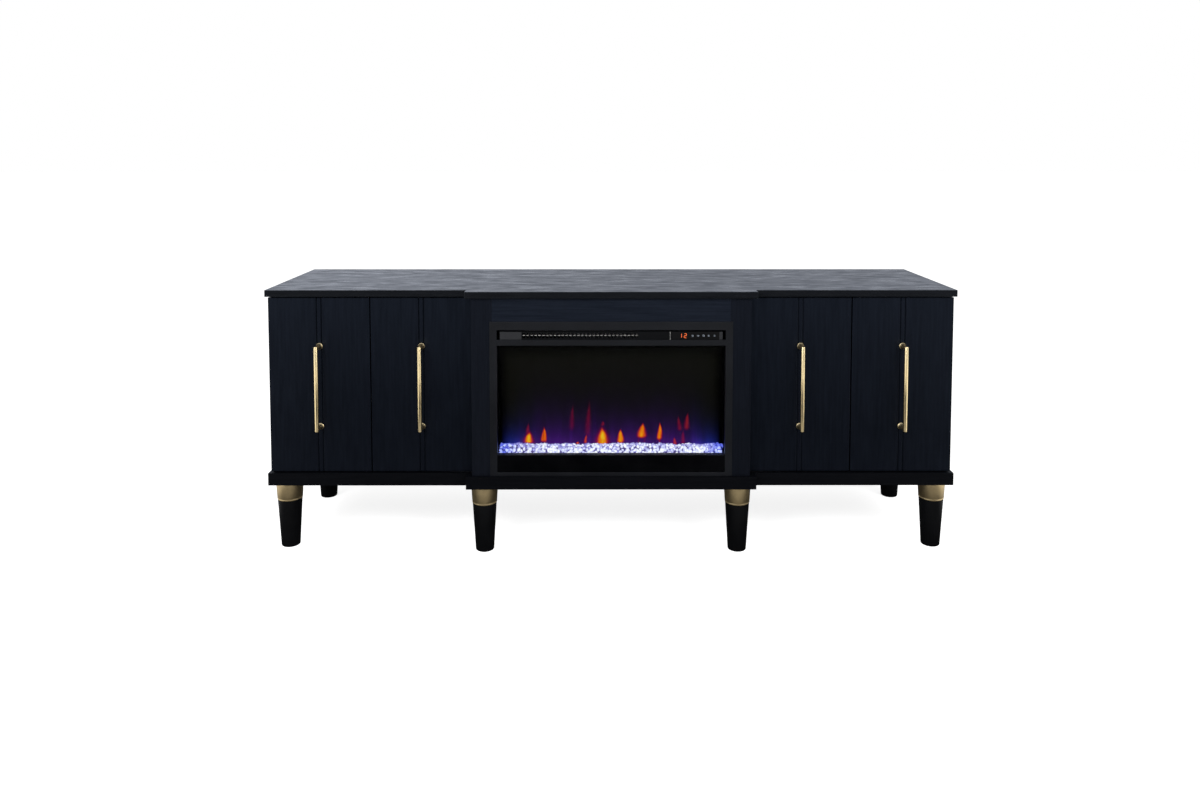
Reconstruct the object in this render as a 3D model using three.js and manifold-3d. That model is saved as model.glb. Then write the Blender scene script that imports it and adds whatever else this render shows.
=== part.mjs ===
// Fireplace media console: a long low cabinet with a heater in its middle.
// Four doors on hidden hinges, two on each side, six tapered legs with gold collars.
// Millimetres, +Z up, the front faces -Y, the origin is on the floor under the middle.
import * as THREE from 'three';
import { mergeVertices } from 'three/addons/utils/BufferGeometryUtils.js';
import Module from 'manifold-3d';

const wasm = await Module();
wasm.setup();

// Driving sizes of the cabinet.
const CABINET_WIDTH = 1829;
const CABINET_HEIGHT = 700;
const SIDE_DEPTH = 420;
const CENTRE_STEP = 30;
const CENTRE_WIDTH = 766;
const TOP_THICKNESS = 18;
const BOARD = 18;
const LEG_HEIGHT = 175;
const APRON_HEIGHT = 33;
const APRON_WALL = 20;
const FACE_SETBACK = 8;
const END_SETBACK = 6.5;
const FASCIA_SETBACK = 16;
const BACK_SETBACK = 8;
const BACK_THICKNESS = 5;
const BACK_EDGE_GAP = 2;
const SHELF_SETBACK = 40;
const SHELF_HEIGHT_IN_BAY = 236;
const CABLE_HOLE_RADIUS = 30;
const CABLE_HOLE_FROM_BASE = 80;
const CABLE_HOLE_FROM_PARTITION = 90;

// Running clearance between a piece and the hole or slot that holds it.
const FIT_GAP = 0.3;
const CUT_OVERRUN = 5;

// Doors, their grooves and the way they hang.
const DOOR_THICKNESS = 18;
const DOOR_GAP = 3;
const DOOR_BACK_GAP = 2.5;
const DOOR_SIDE_GAP = 2;
const GROOVE_SPACING = 12.4;
const GROOVE_WIDTH = 4;
const GROOVE_DEPTH = 2.5;

// Pull handles: a straight round bar on two flared posts.
const PULL_RADIUS = 5.2;
const PULL_SPAN = 216;
const PULL_REACH = 32;
const PULL_BASE_RADIUS = 9;
const PULL_BASE_THICKNESS = 1.4;
const PULL_FLARE_LENGTH = 12;
const PULL_FLARE_MIDDLE_RADIUS = 6.4;
const PULL_FLARE_MIDDLE = 4.5;
const PULL_BELOW_DOOR_MIDDLE = 4;
const PULL_STUD_RADIUS = 2;
const PULL_STUD_DEPTH = 12;

// Cup hinges.
const CUP_RADIUS = 17.5;
const CUP_DEPTH = 11.5;
const CUP_WALL = 1.2;
const CUP_FROM_EDGE = 22.5;
const CUP_PLATE_LENGTH = 52;
const CUP_PLATE_WIDTH = 22;
const CUP_PLATE_THICKNESS = 1.2;
const HINGE_FROM_DOOR_END = 90;
const ARM_WIDTH = 16;
const ARM_THICKNESS = 13;
const ARM_START = 34;
const ARM_END = 86;
const ARM_BEND = 22;
const ARM_CRANK = 24;
const NOSE_NEAR = 21;
const NOSE_FAR = 31;

// Legs.
const LEG_TOP_RADIUS = 34.7;
const LEG_FOOT_RADIUS = 24.3;
const LEG_FOOT_ROUND = 3;
const LEG_END_INSET = 45.5;
const LEG_FACE_INSET = 37;
const INNER_LEG_FROM_MIDDLE = 338;
const COLLAR_HEIGHT = 46;
const COLLAR_WALL = 2.2;
const COLLAR_PROUD = 0.9;
const COLLAR_LIP_HEIGHT = 3.5;
const LEG_STUD_RADIUS = 6;
const LEG_STUD_LENGTH = 12;
const LEG_BLOCK_SIZE = 76;
const APRON_RAIL_WIDTH = 40;

// Heater insert in the middle opening.
const FASCIA_BOARD_WIDTH = 54;
const HEADER_HEIGHT = 65;
const INSERT_DEPTH = 156;
const FRONT_FRAME_DEPTH = 19.5;
const FLANGE_PROUD = 2.5;
const FLANGE_LAP_SIDE = 6;
const FLANGE_LAP_TOP = 3.5;
const FLANGE_SIDE = 13;
const FLANGE_TOP = 19;
const FLANGE_BOTTOM = 11;
const KICK_HEIGHT = 46.5;
const KICK_RECESS = 3;
const VENT_WINDOW_HEIGHT = 26;
const VENT_WINDOW_WIDTH = 600;
const VENT_BAR_HEIGHT = 15;
const STRIP_HEIGHT = 22;
const STRIP_SETBACK = 3.5;
const STRIP_END_GAP = 7.5;
const STRIP_DEPTH = 12;
const GRILLE_LEFT_CAP = 60;
const GRILLE_OPEN_WIDTH = 306;
const GRILLE_PITCH = 10.2;
const GRILLE_SLAT = 3.4;
const GRILLE_RIM = 4;
const CONTROL_WIDTH = 138;
const GLASS_THICKNESS = 3;
const GLASS_LAP = 6;
const SHEET = 2;
const HOUSING_SIDE_GAP = 2;
const HOUSING_TOP_GAP = 2;
const SHELF_PLATE_SETBACK = 4;
const BED_LEDGE_HEIGHT = 45;
const BED_DEPTH = 44;
const BED_END_GAP = 3;
const BED_BASE_HEIGHT = 23;
const BED_FRONT_GAP = 6;
const CRYSTAL_SIZE = 10;
const CRYSTAL_PITCH = 21.5;
const SCREEN_THICKNESS = 2.5;
const SCREEN_BEHIND_BED = 6;
const SCREEN_SIDE_GAP = 3;
const SCREEN_TOP_GAP = 3;
const BLOWER_RADIUS = 20;
const BLOWER_HUB_RADIUS = 5;
const BLOWER_BLADES = 12;
const BLOWER_BLADE_THICKNESS = 1.5;
const BLOWER_BLADE_DEPTH = 6;
const BLOWER_DISC = 2;
const BLOWER_SECTIONS = 3;
const BLOWER_LENGTH = 420;
const BLOWER_END_GAP = 6;
const BLOWER_BEHIND_GLASS = 76;
const SHAFT_RADIUS = 3;
const HEATER_BEHIND_GLASS = 24;
const HEATER_CORE = 5;
const HEATER_FIN_DEPTH = 12;
const HEATER_FIN_PITCH = 16;
const HEATER_FIN_WIDTH = 8;
const HEATER_HEIGHT = 26;
const SPINDLE_RADIUS = 5;
const SPINDLE_BLADE_REACH = 16;
const SPINDLE_BLADE_LENGTH = 14;
const SPINDLE_BLADE_THICKNESS = 1.5;
const SPINDLE_BLADES = 18;
const SPINDLE_BLADES_PER_TURN = 5;
const SPINDLE_BEHIND_SCREEN = 32;
const SPINDLE_ABOVE_LEDGE = 46;
const BEARING_RADIUS = 9;
const BEARING_LENGTH = 9;
const INTAKE_SLOTS = 9;
const INTAKE_SLOT_WIDTH = 8;
const INTAKE_SLOT_HEIGHT = 34;
const INTAKE_PITCH = 24;
const GLAND_RADIUS = 9;
const GLAND_BORE_RADIUS = 4.5;
const GLAND_LENGTH = 10;
const GLAND_FROM_END = 60;
const GLAND_FROM_BASE = 34;

const ROUND_SIDES = 24;
const SMALL_ROUND_SIDES = 12;
const MERGE_TOLERANCE = 0.0001;

// Places worked out from the sizes.
const backY = (SIDE_DEPTH + CENTRE_STEP) / 2;
const centreFrontY = -backY;
const sideFrontY = centreFrontY + CENTRE_STEP;
const halfWidth = CABINET_WIDTH / 2;
const centreHalf = CENTRE_WIDTH / 2;
const baseTop = LEG_HEIGHT + APRON_HEIGHT;
const topUnder = CABINET_HEIGHT - TOP_THICKNESS;
const doorFrontY = sideFrontY + FACE_SETBACK;
const doorBackY = doorFrontY + DOOR_THICKNESS;
const carcassFrontY = doorBackY + DOOR_BACK_GAP;
const carcassBackY = backY - BACK_SETBACK - BACK_THICKNESS;
const fasciaFrontY = centreFrontY + FACE_SETBACK;
const fasciaBackY = fasciaFrontY + BOARD;
const sideOuterX = halfWidth - END_SETBACK;
const sideInnerX = sideOuterX - BOARD;
const partitionOuterX = centreHalf - FASCIA_SETBACK;
const partitionInnerX = partitionOuterX - BOARD;
const openingHalf = partitionOuterX - FASCIA_BOARD_WIDTH;
const doorBottom = baseTop + DOOR_GAP;
const doorTop = topUnder - DOOR_GAP;
const doorHeight = doorTop - doorBottom;
const doorInnerEdgeX = partitionOuterX + DOOR_SIDE_GAP;
const doorWidth = (sideOuterX - doorInnerEdgeX - DOOR_GAP) / 2;
const insertTop = topUnder - HEADER_HEIGHT;
const frameFrontY = fasciaFrontY - FLANGE_PROUD;
const frameBackY = frameFrontY + FRONT_FRAME_DEPTH;
const housingBackY = fasciaFrontY + INSERT_DEPTH;
const housingHalf = openingHalf - HOUSING_SIDE_GAP;
const housingInnerHalf = housingHalf - SHEET;
const housingTop = insertTop - HOUSING_TOP_GAP;
const glassBottom = baseTop + FLANGE_BOTTOM + KICK_HEIGHT;
const windowTop = insertTop - FLANGE_TOP;
const windowBottom = windowTop - VENT_WINDOW_HEIGHT;
const glassTop = windowBottom - VENT_BAR_HEIGHT;
const viewHalf = openingHalf - FLANGE_SIDE;
const glassBackY = frameBackY + GLASS_THICKNESS;
const plateFrontY = frameBackY + SHELF_PLATE_SETBACK;
const ledgeTop = baseTop + BED_LEDGE_HEIGHT;
const dividerTop = glassTop - SHEET;
const dividerBottom = dividerTop - SHEET;
const bedFrontY = glassBackY + BED_FRONT_GAP;
const bedBackY = bedFrontY + BED_DEPTH;
const screenFrontY = bedBackY + SCREEN_BEHIND_BED;
const screenBackY = screenFrontY + SCREEN_THICKNESS;
const spindleY = screenBackY + SPINDLE_BEHIND_SCREEN;
const spindleZ = ledgeTop + SPINDLE_ABOVE_LEDGE;
const windowHalf = VENT_WINDOW_WIDTH / 2;
const stripLeftX = -windowHalf + STRIP_END_GAP;
const stripRightX = windowHalf - STRIP_END_GAP;
const controlLeftX = stripRightX - CONTROL_WIDTH;
const grilleRightX = controlLeftX - FIT_GAP;
const grilleOpenLeftX = stripLeftX + GRILLE_LEFT_CAP;
const blowerLeftX = grilleOpenLeftX - BLOWER_END_GAP * 2;
const blowerRightX = blowerLeftX + BLOWER_LENGTH;
const bearingLeftX = blowerLeftX - BLOWER_END_GAP;
const bearingRightX = blowerRightX + BLOWER_END_GAP;
const blowerY = glassBackY + BLOWER_BEHIND_GLASS;
const blowerZ = (dividerTop + housingTop) / 2;

// Finishes.
function finish(colour, roughness, metalness) {
  return new THREE.MeshStandardMaterial({ color: colour, roughness, metalness });
}
const blackOak = finish(0x1c1d21, 0.5, 0);
const boardBlack = finish(0x17181b, 0.6, 0);
const backBoard = finish(0x202124, 0.8, 0);
const paleGold = finish(0xd9b779, 0.3, 1);
const antiqueGold = finish(0x8a6b3a, 0.35, 1);
const steel = finish(0xb9bcc0, 0.35, 1);
const blackSheet = finish(0x141517, 0.5, 0.6);
const frameBlack = finish(0x2a2b2e, 0.45, 0.3);
const blackGlass = finish(0x050506, 0.08, 0);
const panelGloss = finish(0x060607, 0.12, 0);
const screenFilm = finish(0x0b0b12, 0.4, 0);
const crystalBlue = finish(0x8fa4ff, 0.15, 0);
const darkSteel = finish(0x55585c, 0.4, 0.9);

const cabinet = new THREE.Group();

// Joining and cutting.
function toSolid(geometry) {
  const bare = geometry.clone();
  bare.deleteAttribute('normal');
  bare.deleteAttribute('uv');
  const merged = mergeVertices(bare, MERGE_TOLERANCE);
  return new wasm.Manifold(new wasm.Mesh({
    numProp: 3,
    vertProperties: new Float32Array(merged.attributes.position.array),
    triVerts: new Uint32Array(merged.index.array),
  }));
}

function toGeometry(solid) {
  const mesh = solid.getMesh();
  const geometry = new THREE.BufferGeometry();
  geometry.setAttribute('position', new THREE.BufferAttribute(mesh.vertProperties, 3));
  geometry.setIndex(new THREE.BufferAttribute(mesh.triVerts, 1));
  return geometry;
}

function join(first, ...others) {
  let solid = toSolid(first);
  for (const other of others) {
    solid = solid.add(toSolid(other));
  }
  return toGeometry(solid);
}

function cut(first, ...tools) {
  let solid = toSolid(first);
  for (const tool of tools) {
    solid = solid.subtract(toSolid(tool));
  }
  return toGeometry(solid);
}

// Plain shapes in their own place.
function block(x0, x1, y0, y1, z0, z1) {
  const geometry = new THREE.BoxGeometry(Math.abs(x1 - x0), Math.abs(y1 - y0), Math.abs(z1 - z0));
  return geometry.translate((x0 + x1) / 2, (y0 + y1) / 2, (z0 + z1) / 2);
}

function prism(points, z0, z1) {
  const shape = new THREE.Shape(points.map(([x, y]) => new THREE.Vector2(x, y)));
  const geometry = new THREE.ExtrudeGeometry(shape, { depth: z1 - z0, bevelEnabled: false });
  return geometry.translate(0, 0, z0);
}

function rodAlongX(radius, x0, x1, y, z, sides) {
  const geometry = new THREE.CylinderGeometry(radius, radius, Math.abs(x1 - x0), sides);
  return geometry.rotateZ(Math.PI / 2).translate((x0 + x1) / 2, y, z);
}

function rodAlongY(radius, y0, y1, x, z, sides) {
  const geometry = new THREE.CylinderGeometry(radius, radius, Math.abs(y1 - y0), sides);
  return geometry.translate(x, (y0 + y1) / 2, z);
}

function rodAlongZ(radius, z0, z1, x, y, sides) {
  const geometry = new THREE.CylinderGeometry(radius, radius, Math.abs(z1 - z0), sides);
  return geometry.rotateX(Math.PI / 2).translate(x, y, (z0 + z1) / 2);
}

// A profile of radius and height turned round the vertical axis.
function turned(profile, sides) {
  const points = profile.map(([radius, height]) => new THREE.Vector2(radius, height));
  return new THREE.LatheGeometry(points, sides).rotateX(Math.PI / 2);
}

function place(parent, name, geometry, material, x = 0, y = 0, z = 0) {
  const mesh = new THREE.Mesh(geometry, material);
  mesh.name = name;
  mesh.position.set(x, y, z);
  parent.add(mesh);
  return mesh;
}

const sides = [['left', -1], ['right', 1]];

// The stepped outline that the top and the apron share, drawn in by an inset.
function steppedOutline(inset) {
  const back = backY - inset;
  const end = halfWidth - inset;
  const side = sideFrontY + inset;
  const centre = centreFrontY + inset;
  const step = centreHalf - inset;
  return [
    [-end, side], [-step, side], [-step, centre], [step, centre],
    [step, side], [end, side], [end, back], [-end, back],
  ];
}

// Top board.
function topPanel() {
  return prism(steppedOutline(0), topUnder, CABINET_HEIGHT);
}

// Six leg places: the outer pairs front and back, and one pair under the centre front.
const outerLegX = halfWidth - LEG_END_INSET;
const rearLegY = backY - LEG_FACE_INSET;
const legPlaces = [
  ['front_left', -outerLegX, sideFrontY + LEG_FACE_INSET],
  ['centre_left', -INNER_LEG_FROM_MIDDLE, centreFrontY + LEG_FACE_INSET],
  ['centre_right', INNER_LEG_FROM_MIDDLE, centreFrontY + LEG_FACE_INSET],
  ['front_right', outerLegX, sideFrontY + LEG_FACE_INSET],
  ['rear_left', -outerLegX, rearLegY],
  ['rear_right', outerLegX, rearLegY],
];

// Apron ring with rails across it and a block over each leg.
const apronLedge = baseTop - BOARD;
function baseFrame() {
  const pieces = [];
  for (const [, x, y] of legPlaces) {
    const half = LEG_BLOCK_SIZE / 2;
    const middleOfWall = APRON_WALL / 2;
    const face = Math.abs(x) < centreHalf ? centreFrontY : sideFrontY;
    const front = Math.max(y - half, face + middleOfWall);
    const outer = Math.min(Math.abs(x) + half, halfWidth - middleOfWall);
    const inner = Math.abs(x) - half;
    const back = Math.min(y + half, backY - middleOfWall);
    const side = Math.sign(x);
    pieces.push(block(side * inner, side * outer, front, back, LEG_HEIGHT, apronLedge));
  }
  const railHalf = APRON_RAIL_WIDTH / 2;
  for (const [, side] of sides) {
    const railX = side * (partitionOuterX - BOARD / 2);
    const railFront = centreFrontY + APRON_WALL / 2;
    const railBack = backY - APRON_WALL / 2;
    pieces.push(block(railX - railHalf, railX + railHalf, railFront, railBack, LEG_HEIGHT, apronLedge));
  }
  const ring = cut(
    prism(steppedOutline(0), LEG_HEIGHT, baseTop),
    prism(steppedOutline(APRON_WALL), LEG_HEIGHT - CUT_OVERRUN, baseTop + CUT_OVERRUN),
  );
  const joined = join(ring, ...pieces);
  const holeRadius = LEG_STUD_RADIUS + FIT_GAP;
  const holeTop = LEG_HEIGHT + LEG_STUD_LENGTH + FIT_GAP;
  const holes = legPlaces.map(([, x, y]) => (
    rodAlongZ(holeRadius, LEG_HEIGHT - CUT_OVERRUN, holeTop, x, y, SMALL_ROUND_SIDES)));
  return cut(joined, ...holes);
}

// Floor board let into the apron ring, flush with its top edge.
function bottomPanel() {
  return prism(steppedOutline(APRON_WALL + FIT_GAP), apronLedge, baseTop);
}

place(cabinet, 'top_panel', topPanel(), blackOak);
place(cabinet, 'base_frame', baseFrame(), blackOak);
place(cabinet, 'bottom_panel', bottomPanel(), boardBlack);

// Leg: a tapered turning with a reduced neck for the collar and a stud on top.
function legRadiusAt(height) {
  return LEG_FOOT_RADIUS + (LEG_TOP_RADIUS - LEG_FOOT_RADIUS) * (height / LEG_HEIGHT);
}
const shoulderZ = LEG_HEIGHT - COLLAR_HEIGHT;
const neckInset = COLLAR_WALL + FIT_GAP - COLLAR_PROUD;

function legShape() {
  const round = LEG_FOOT_ROUND;
  const studTop = LEG_HEIGHT + LEG_STUD_LENGTH;
  return turned([
    [0, 0],
    [legRadiusAt(0) - round, 0],
    [legRadiusAt(0) - round * (1 - Math.SQRT1_2), round * (1 - Math.SQRT1_2)],
    [legRadiusAt(round), round],
    [legRadiusAt(shoulderZ), shoulderZ],
    [legRadiusAt(shoulderZ) - neckInset, shoulderZ],
    [legRadiusAt(LEG_HEIGHT) - neckInset, LEG_HEIGHT],
    [LEG_STUD_RADIUS, LEG_HEIGHT],
    [LEG_STUD_RADIUS, studTop],
    [0, studTop],
  ], ROUND_SIDES);
}

// Collar: a thin tapered sleeve with a rounded lower lip.
function collarShape() {
  const inner = (height) => legRadiusAt(height) - neckInset + FIT_GAP;
  const outer = (height) => legRadiusAt(height) + COLLAR_PROUD;
  const lipTop = shoulderZ + COLLAR_LIP_HEIGHT;
  return turned([
    [inner(shoulderZ), shoulderZ],
    [legRadiusAt(shoulderZ), shoulderZ],
    [outer(lipTop), lipTop],
    [outer(LEG_HEIGHT), LEG_HEIGHT],
    [inner(LEG_HEIGHT), LEG_HEIGHT],
    [inner(shoulderZ), shoulderZ],
  ], ROUND_SIDES);
}

for (const [name, x, y] of legPlaces) {
  place(cabinet, `leg_${name}`, legShape(), blackOak, x, y, 0);
  place(cabinet, `leg_collar_${name}`, collarShape(), antiqueGold, x, y, 0);
}

// Upright boards, shelves and backs of the two side bays.
function sidePanel(side) {
  return block(side * sideInnerX, side * sideOuterX, carcassFrontY, carcassBackY, baseTop, topUnder);
}

function partition(side) {
  const inner = side * partitionInnerX;
  const outer = side * partitionOuterX;
  return block(inner, outer, fasciaBackY, carcassBackY, baseTop, topUnder);
}

const shelfZ = baseTop + SHELF_HEIGHT_IN_BAY;
function shelf(side) {
  const front = doorBackY + SHELF_SETBACK;
  return block(side * partitionOuterX, side * sideInnerX, front, carcassBackY, shelfZ, shelfZ + BOARD);
}

function backPanel(side) {
  const inner = side * (partitionInnerX + BACK_EDGE_GAP);
  const outer = side * (sideOuterX - BACK_EDGE_GAP);
  const rear = carcassBackY + BACK_THICKNESS;
  const bottom = baseTop + BACK_EDGE_GAP;
  const top = topUnder - BACK_EDGE_GAP;
  const board = block(inner, outer, carcassBackY, rear, bottom, top);
  const holeX = side * (partitionOuterX + CABLE_HOLE_FROM_PARTITION);
  const holeZ = baseTop + CABLE_HOLE_FROM_BASE;
  return cut(board, rodAlongY(
    CABLE_HOLE_RADIUS, carcassBackY - CUT_OVERRUN, rear + CUT_OVERRUN, holeX, holeZ, ROUND_SIDES));
}

function stile(side) {
  const inner = side * openingHalf;
  const outer = side * partitionOuterX;
  return block(inner, outer, fasciaFrontY, fasciaBackY, baseTop, topUnder);
}

function headerRail() {
  return block(-openingHalf, openingHalf, fasciaFrontY, fasciaBackY, insertTop, topUnder);
}

for (const [name, side] of sides) {
  place(cabinet, `side_panel_${name}`, sidePanel(side), blackOak);
  place(cabinet, `partition_${name}`, partition(side), blackOak);
  place(cabinet, `shelf_${name}`, shelf(side), boardBlack);
  place(cabinet, `back_panel_${name}`, backPanel(side), backBoard);
  place(cabinet, `stile_${name}`, stile(side), blackOak);
}
place(cabinet, 'header_rail', headerRail(), blackOak);

// Door board in its own place: the hinge edge is at zero and the board runs to x = way * width.
function doorShape(way) {
  const middle = doorWidth / 2;
  const half = GROOVE_WIDTH / 2;
  const outline = [[0, 0]];
  for (const centre of [middle - GROOVE_SPACING / 2, middle + GROOVE_SPACING / 2]) {
    outline.push([centre - half, 0], [centre, GROOVE_DEPTH], [centre + half, 0]);
  }
  outline.push([doorWidth, 0], [doorWidth, DOOR_THICKNESS], [0, DOOR_THICKNESS]);
  const board = prism(outline.map(([x, y]) => [way * x, y]), 0, doorHeight);
  const tools = [];
  for (const z of hingeHeights) {
    const recessFloor = DOOR_THICKNESS - CUP_DEPTH;
    tools.push(rodAlongY(CUP_RADIUS + FIT_GAP, recessFloor, DOOR_THICKNESS + CUT_OVERRUN,
      way * CUP_FROM_EDGE, z, ROUND_SIDES));
  }
  for (const z of pullHeights) {
    tools.push(rodAlongY(PULL_STUD_RADIUS + FIT_GAP, -CUT_OVERRUN, PULL_STUD_DEPTH + FIT_GAP,
      way * middle, z, SMALL_ROUND_SIDES));
  }
  return cut(board, ...tools);
}

const hingeHeights = [HINGE_FROM_DOOR_END, doorHeight - HINGE_FROM_DOOR_END];
const pullMiddle = doorHeight / 2 - PULL_BELOW_DOOR_MIDDLE;
const pullHeights = [pullMiddle - PULL_SPAN / 2, pullMiddle + PULL_SPAN / 2];

// Pull: a round bar on two posts that flare to round bases on the door, with a stud in the board.
function postShape(z) {
  const post = turned([
    [0, 0],
    [PULL_BASE_RADIUS, 0],
    [PULL_BASE_RADIUS, PULL_BASE_THICKNESS],
    [PULL_FLARE_MIDDLE_RADIUS, PULL_FLARE_MIDDLE],
    [PULL_RADIUS, PULL_FLARE_LENGTH],
    [PULL_RADIUS, PULL_REACH],
    [0, PULL_REACH],
  ], SMALL_ROUND_SIDES);
  return post.rotateX(Math.PI / 2).translate(0, 0, z);
}

function pullShape() {
  const low = -PULL_SPAN / 2;
  const high = PULL_SPAN / 2;
  const bar = rodAlongZ(
    PULL_RADIUS, low - PULL_RADIUS, high + PULL_RADIUS, 0, -PULL_REACH, SMALL_ROUND_SIDES);
  const studs = [low, high].map((z) => (
    rodAlongY(PULL_STUD_RADIUS, -PULL_RADIUS, PULL_STUD_DEPTH, 0, z, SMALL_ROUND_SIDES)));
  return join(bar, postShape(low), postShape(high), ...studs);
}

// Hinge cup: a pressed bowl with an oblong plate, seen from the back of the door.
function cupShape() {
  const plateBack = CUP_PLATE_THICKNESS;
  const bowl = rodAlongY(CUP_RADIUS, -CUP_DEPTH, plateBack, 0, 0, ROUND_SIDES);
  const halfWide = CUP_PLATE_WIDTH / 2;
  const halfLong = CUP_PLATE_LENGTH / 2;
  const plate = block(-halfWide, halfWide, 0, plateBack, -halfLong, halfLong);
  const hollow = rodAlongY(
    CUP_RADIUS - CUP_WALL, -CUP_DEPTH + CUP_WALL, plateBack + CUT_OVERRUN, 0, 0, ROUND_SIDES);
  return cut(join(bowl, plate), hollow);
}

// Hinge arm: screwed to an upright at wallX and cranked so its nose reaches into the cup.
function armShape(wallX, way) {
  const tipY = DOOR_THICKNESS - CUP_DEPTH + CUP_WALL + FIT_GAP;
  const backX = Math.max(wallX + ARM_THICKNESS, ARM_THICKNESS);
  const outline = [
    [wallX, ARM_END], [wallX, ARM_START], [NOSE_NEAR, ARM_BEND], [NOSE_NEAR, tipY],
    [NOSE_FAR, tipY], [NOSE_FAR, ARM_CRANK], [backX, ARM_CRANK + backX], [backX, ARM_END],
  ];
  const half = ARM_WIDTH / 2;
  return prism(outline.map(([x, y]) => [way * x, y]), -half, half);
}

// A door with its pull and its cups, turned about the front corner on its hinge side.
function hungDoor(name, hingeX, way, wallX) {
  const leaf = new THREE.Group();
  leaf.position.set(hingeX, doorFrontY, doorBottom);
  place(leaf, `door_${name}`, doorShape(way), blackOak);
  place(leaf, `pull_${name}`, pullShape(), paleGold, way * (doorWidth / 2), 0, pullMiddle);
  const levels = ['lower', 'upper'];
  hingeHeights.forEach((z, i) => {
    const cupX = way * CUP_FROM_EDGE;
    place(leaf, `hinge_cup_${name}_${levels[i]}`, cupShape(), steel, cupX, DOOR_THICKNESS, z);
    place(cabinet, `hinge_arm_${name}_${levels[i]}`, armShape(wallX, way), steel,
      hingeX, doorFrontY, doorBottom + z);
  });
  cabinet.add(leaf);
}

for (const [name, side] of sides) {
  hungDoor(`${name}_outer`, side * sideOuterX, -side, BOARD);
  hungDoor(`${name}_inner`, side * doorInnerEdgeX, side, -DOOR_SIDE_GAP);
}

// Front frame of the heater: flange, window for the vent strip, glass opening and kick panel.
function insertFrontFrame() {
  const half = openingHalf - FIT_GAP;
  const top = insertTop - FIT_GAP;
  const front = frameFrontY - CUT_OVERRUN;
  const back = frameBackY + CUT_OVERRUN;
  const kickBack = frameFrontY + KICK_RECESS;
  const lap = openingHalf + FLANGE_LAP_SIDE;
  const flange = block(-lap, lap, frameFrontY, fasciaFrontY - FIT_GAP, baseTop, insertTop + FLANGE_LAP_TOP);
  const box = block(-half, half, frameFrontY, frameBackY, baseTop, top);
  return cut(
    join(flange, box),
    block(-viewHalf, viewHalf, front, back, glassBottom, glassTop),
    block(-windowHalf, windowHalf, front, back, windowBottom, windowTop),
    block(-viewHalf, viewHalf, front, kickBack, baseTop + FLANGE_BOTTOM, glassBottom + FIT_GAP),
  );
}

// Vent strip: a bar with upright slots, closed at its left end.
const stripFrontY = frameFrontY + STRIP_SETBACK;
const stripBackY = stripFrontY + STRIP_DEPTH;
const stripTop = windowBottom + STRIP_HEIGHT;
function outletGrille() {
  const bar = block(stripLeftX, grilleRightX, stripFrontY, stripBackY, windowBottom, stripTop);
  const count = Math.round(GRILLE_OPEN_WIDTH / GRILLE_PITCH);
  const slots = [];
  for (let i = 0; i < count; i += 1) {
    const x = grilleOpenLeftX + i * GRILLE_PITCH;
    slots.push(block(x, x + GRILLE_PITCH - GRILLE_SLAT, stripFrontY - CUT_OVERRUN,
      stripBackY + CUT_OVERRUN, windowBottom + GRILLE_RIM, stripTop - GRILLE_RIM));
  }
  return cut(bar, ...slots);
}

function controlPanel() {
  return block(controlLeftX, stripRightX, stripFrontY, stripBackY, windowBottom, stripTop);
}

function viewingGlass() {
  const half = viewHalf + GLASS_LAP;
  return block(-half, half, frameBackY, glassBackY, glassBottom - GLASS_LAP, glassTop + GLASS_LAP);
}

// Sheet-metal housing behind the frame, with its ledges, bearings, intake slots and cord gland.
function bearing(x0, x1, y, z) {
  return rodAlongX(BEARING_RADIUS, x0, x1, y, z, SMALL_ROUND_SIDES);
}

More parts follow.
